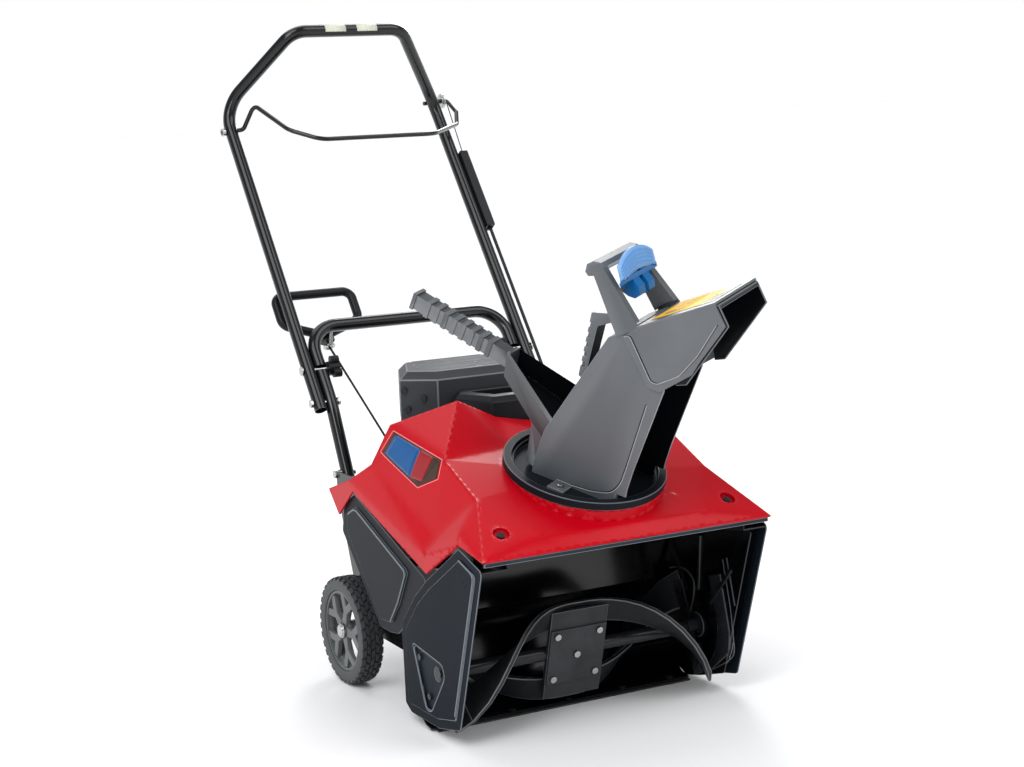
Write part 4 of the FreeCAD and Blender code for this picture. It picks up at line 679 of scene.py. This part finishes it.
def wrapped_patch(name, four, out, lift, thickness, material):
    """Thin patch between four corners that follows the hood under it."""
    rows = []
    for i in range(PATCH_STEPS + 1):
        near = four[0].lerp(four[3], i / PATCH_STEPS)
        far = four[1].lerp(four[2], i / PATCH_STEPS)
        rows.append([settled(near.lerp(far, k / PATCH_STEPS), out) for k in range(PATCH_STEPS + 1)])
    low, high = ([[point + out * height * MM for point in row] for row in rows]
                 for height in (lift, lift + thickness))
    return closed_sheet(name, low, high, "machine", material, "hood_red")


def settled(point, out):
    """Where a line along the outward direction meets the hood's outer skin."""
    start = point + out * SEEK_FROM
    return hood_tree.ray_cast(start, -out)[0] or point


def badge(side):
    """Blank two-colour badge in a shallow frame on the hood's upper side."""
    name = "right" if side < 0 else "left"
    mark = {key: at(side * x, y, z) for key, (x, y, z) in BADGE.items()}
    out = (mark["front_top"] - mark["back_top"]).cross(mark["low"] - mark["back_top"]).normalized()
    if out.x * side < 0:
        out = -out
    centre = sum(mark.values(), Vector()) / len(mark)
    inner = {key: centre + (point - centre) * BADGE_INNER for key, point in mark.items()}
    split_top = inner["back_top"].lerp(inner["front_top"], BADGE_SPLIT)
    split_low = inner["back_low"].lerp(inner["low"], 0.80)
    red_top = inner["back_top"].lerp(inner["front_top"], 0.90)
    red_low = inner["low"].lerp(inner["front_low"], 0.3)
    near_low = mark["low"].lerp(mark["front_top"], 0.02)
    back = [mark["back_top"], mark["front_top"], mark["low"], mark["back_low"]]
    end = [mark["front_top"], mark["front_low"], mark["low"], near_low]
    blue = [inner["back_top"], split_top, split_low, inner["back_low"]]
    red = [split_top, red_top, red_low, split_low]
    wrapped_patch("badge_back_" + name, back, out, 0.15, 0.3, "badge_frame")
    wrapped_patch("badge_end_" + name, end, out, 0.15, 0.3, "badge_frame")
    wrapped_patch("badge_blue_" + name, blue, out, 0.5, 0.35, "badge_blue")
    wrapped_patch("badge_red_" + name, red, out, 0.5, 0.35, "badge_red")
    edge = [mark[key] for key in BADGE]
    route = []
    for here, there in zip(edge, edge[1:] + edge[:1]):
        for k in range(RIM_STEPS):
            away = centre + (here.lerp(there, k / RIM_STEPS) - centre) * BADGE_RIM
            route.append(settled(away, out) + out * 0.2 * MM)
    # the rim bead round the badge is a pale pink painted highlight
    bead("badge_rim_" + name, route, 0.8, "machine", "hood_highlight", reach=2, closed=True)


badge(-1)
badge(1)
hood_bm.free()


# -------------------------------------------------- blank stickers on the tube
# the handle's cross bar: its radius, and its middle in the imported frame
BAR_RADIUS = 11.1
BAR_Y = 502.6
BAR_Z = corners("upper_handle")[1].z / MM - BAR_RADIUS


def bar_sticker(name, x0, x1):
    """Thin label wrapped over the upper front of the cross bar."""
    bm = bmesh.new()
    rows = []
    for i in range(13):
        angle = math.radians(70 + 120 * i / 12)
        rows.append([bm.verts.new(Vector((x, BAR_Y + r * math.cos(angle), BAR_Z + r * math.sin(angle))) * MM)
                     for x, r in ((x0, BAR_RADIUS - 0.1), (x1, BAR_RADIUS - 0.1), (x1, BAR_RADIUS + 0.3),
                                  (x0, BAR_RADIUS + 0.3))])
    for here, there in zip(rows, rows[1:]):
        for k in range(4):
            bm.faces.new((here[k], here[(k + 1) % 4], there[(k + 1) % 4], there[k]))
    bm.faces.new(rows[0])
    bm.faces.new(rows[-1][::-1])
    bmesh.ops.recalc_face_normals(bm, faces=bm.faces)
    add_piece(name, bm, "handle", "label_white")


bar_sticker("bar_sticker_a", -48, -8)
bar_sticker("bar_sticker_b", 14, 54)


# ------------------------------------------------------------- inside walls, their bracket, rail and bulge edges drawn as beads in a pale painted highlight
WALL_X = 221.6
BRACKET = [(-376, 186), (-399, 105), (-387, 60), (-368, 40)]
BRACKET_BACK = [(-404, 194), (-428, 102), (-425, 72), (-376, 34)]
BRACKET_LIP = [(-412, 219), (-432, 140), (-440, 72), (-420, 56), (-372, 30)]
RAIL = [(-423, 224), (-443, 151)]
BULGE = [(-233, 167), (-282, 182), (-308, 183), (-331, 170), (-330, 147), (-317, 114)]
bracket_face = [at(WALL_X, y, z) for y, z in BRACKET + BRACKET_BACK[::-1]]
plate("wall_bracket_face", bracket_face, Vector((-1, 0, 0)), 0, 2.5, "machine", "housing_paint")
# beads in a pale painted highlight along the wall's edges
for tag, outline, radius in (("bracket", BRACKET, 2.2), ("bracket_back", BRACKET_BACK, 1.4),
                             ("bracket_lip", BRACKET_LIP, 1.0), ("rail", RAIL, 1.2), ("bulge", BULGE, 1.6)):
    bead("wall_" + tag, [at(WALL_X, y, z) for y, z in outline], radius, "machine", "housing_highlight",
         reach=14)

# ---------------------------------------------------------------------- stage
FLOOR_SIZE = 40.0
floor_mesh = bpy.data.meshes.new("floor")
floor_bm = bmesh.new()
bmesh.ops.create_grid(floor_bm, x_segments=8, y_segments=8, size=FLOOR_SIZE)
floor_bm.to_mesh(floor_mesh)
floor_bm.free()
floor = bpy.data.objects.new("floor", floor_mesh)
bpy.context.scene.collection.objects.link(floor)
floor_mesh.materials.append(make_material("floor_pale", linear(252, 252, 252), 0.75, vary=0.015, patch=1.5,
                                          grain=40, bump=0.02))

bpy.context.scene.view_settings.view_transform = "Standard"
world = bpy.data.worlds.new("studio")
bpy.context.scene.world = world
world.use_nodes = True
sky = world.node_tree
heading = sky.nodes.new("ShaderNodeTexCoord")
height = sky.nodes.new("ShaderNodeSeparateXYZ")
shade = sky.nodes.new("ShaderNodeValToRGB")
shade.color_ramp.elements[0].position = 0.12
shade.color_ramp.elements[0].color = (1.0, 1.0, 1.0, 1.0)
shade.color_ramp.elements[1].position = 0.42
shade.color_ramp.elements[1].color = (0.30, 0.31, 0.33, 1.0)
sky.links.new(heading.outputs["Generated"], height.inputs["Vector"])
sky.links.new(height.outputs["Z"], shade.inputs["Fac"])
sky.links.new(shade.outputs["Color"], sky.nodes["Background"].inputs["Color"])
sky.nodes["Background"].inputs["Strength"].default_value = 1.0


def sun_light(name, direction, strength, spread):
    """Sun that shines from a direction, with its disc's width in degrees."""
    data = bpy.data.lights.new(name, "SUN")
    data.energy = strength
    data.angle = math.radians(spread)
    lamp = bpy.data.objects.new(name, data)
    bpy.context.scene.collection.objects.link(lamp)
    lamp.location = direction
    lamp.rotation_euler = Vector(direction).to_track_quat("Z", "Y").to_euler()


def area_light(name, spot, target, width, height, watts):
    """Rectangular lamp at a spot, turned to its target."""
    data = bpy.data.lights.new(name, "AREA")
    data.shape = "RECTANGLE"
    data.size = width
    data.size_y = height
    data.energy = watts
    lamp = bpy.data.objects.new(name, data)
    bpy.context.scene.collection.objects.link(lamp)
    lamp.location = spot
    lamp.rotation_euler = (Vector(target) - Vector(spot)).to_track_quat("-Z", "Y").to_euler()


area_light("key", (-2.6, -1.8, 2.6), (0, 0, 0.5), 1.2, 1.6, 26)
area_light("rim", (1.6, 2.4, 2.2), (0, 0, 0.6), 0.8, 2.0, 30)
sun_light("sun_left", (-1.6, -1.0, 2.4), 1.15, 40)
sun_light("sun_right", (1.5, -1.6, 2.2), 0.85, 40)
sun_light("sun_back", (0.2, 1.6, 2.6), 0.85, 50)

# the photograph's viewpoint, matched to the CAD model
CAMERA_LENS = 70.31
CAMERA_PLACE = at(-1502.06, -2941.03, 972.36)
CAMERA_LOOK = Vector((0.46879, 0.87040, -0.15047))
CAMERA_RIGHT = Vector((0.87714, -0.47881, -0.03694))
camera_data = bpy.data.cameras.new("camera")
camera_data.sensor_width = 36.0
camera_data.lens = CAMERA_LENS
camera_data.clip_end = 60.0
camera = bpy.data.objects.new("camera", camera_data)
bpy.context.scene.collection.objects.link(camera)
look = CAMERA_LOOK.normalized()
right = CAMERA_RIGHT.normalized()
above = right.cross(look).normalized()
right = look.cross(above).normalized()
turn = Matrix((right, above, -look)).transposed().to_4x4()
camera.matrix_world = Matrix.Translation(CAMERA_PLACE) @ turn
bpy.context.scene.camera = camera
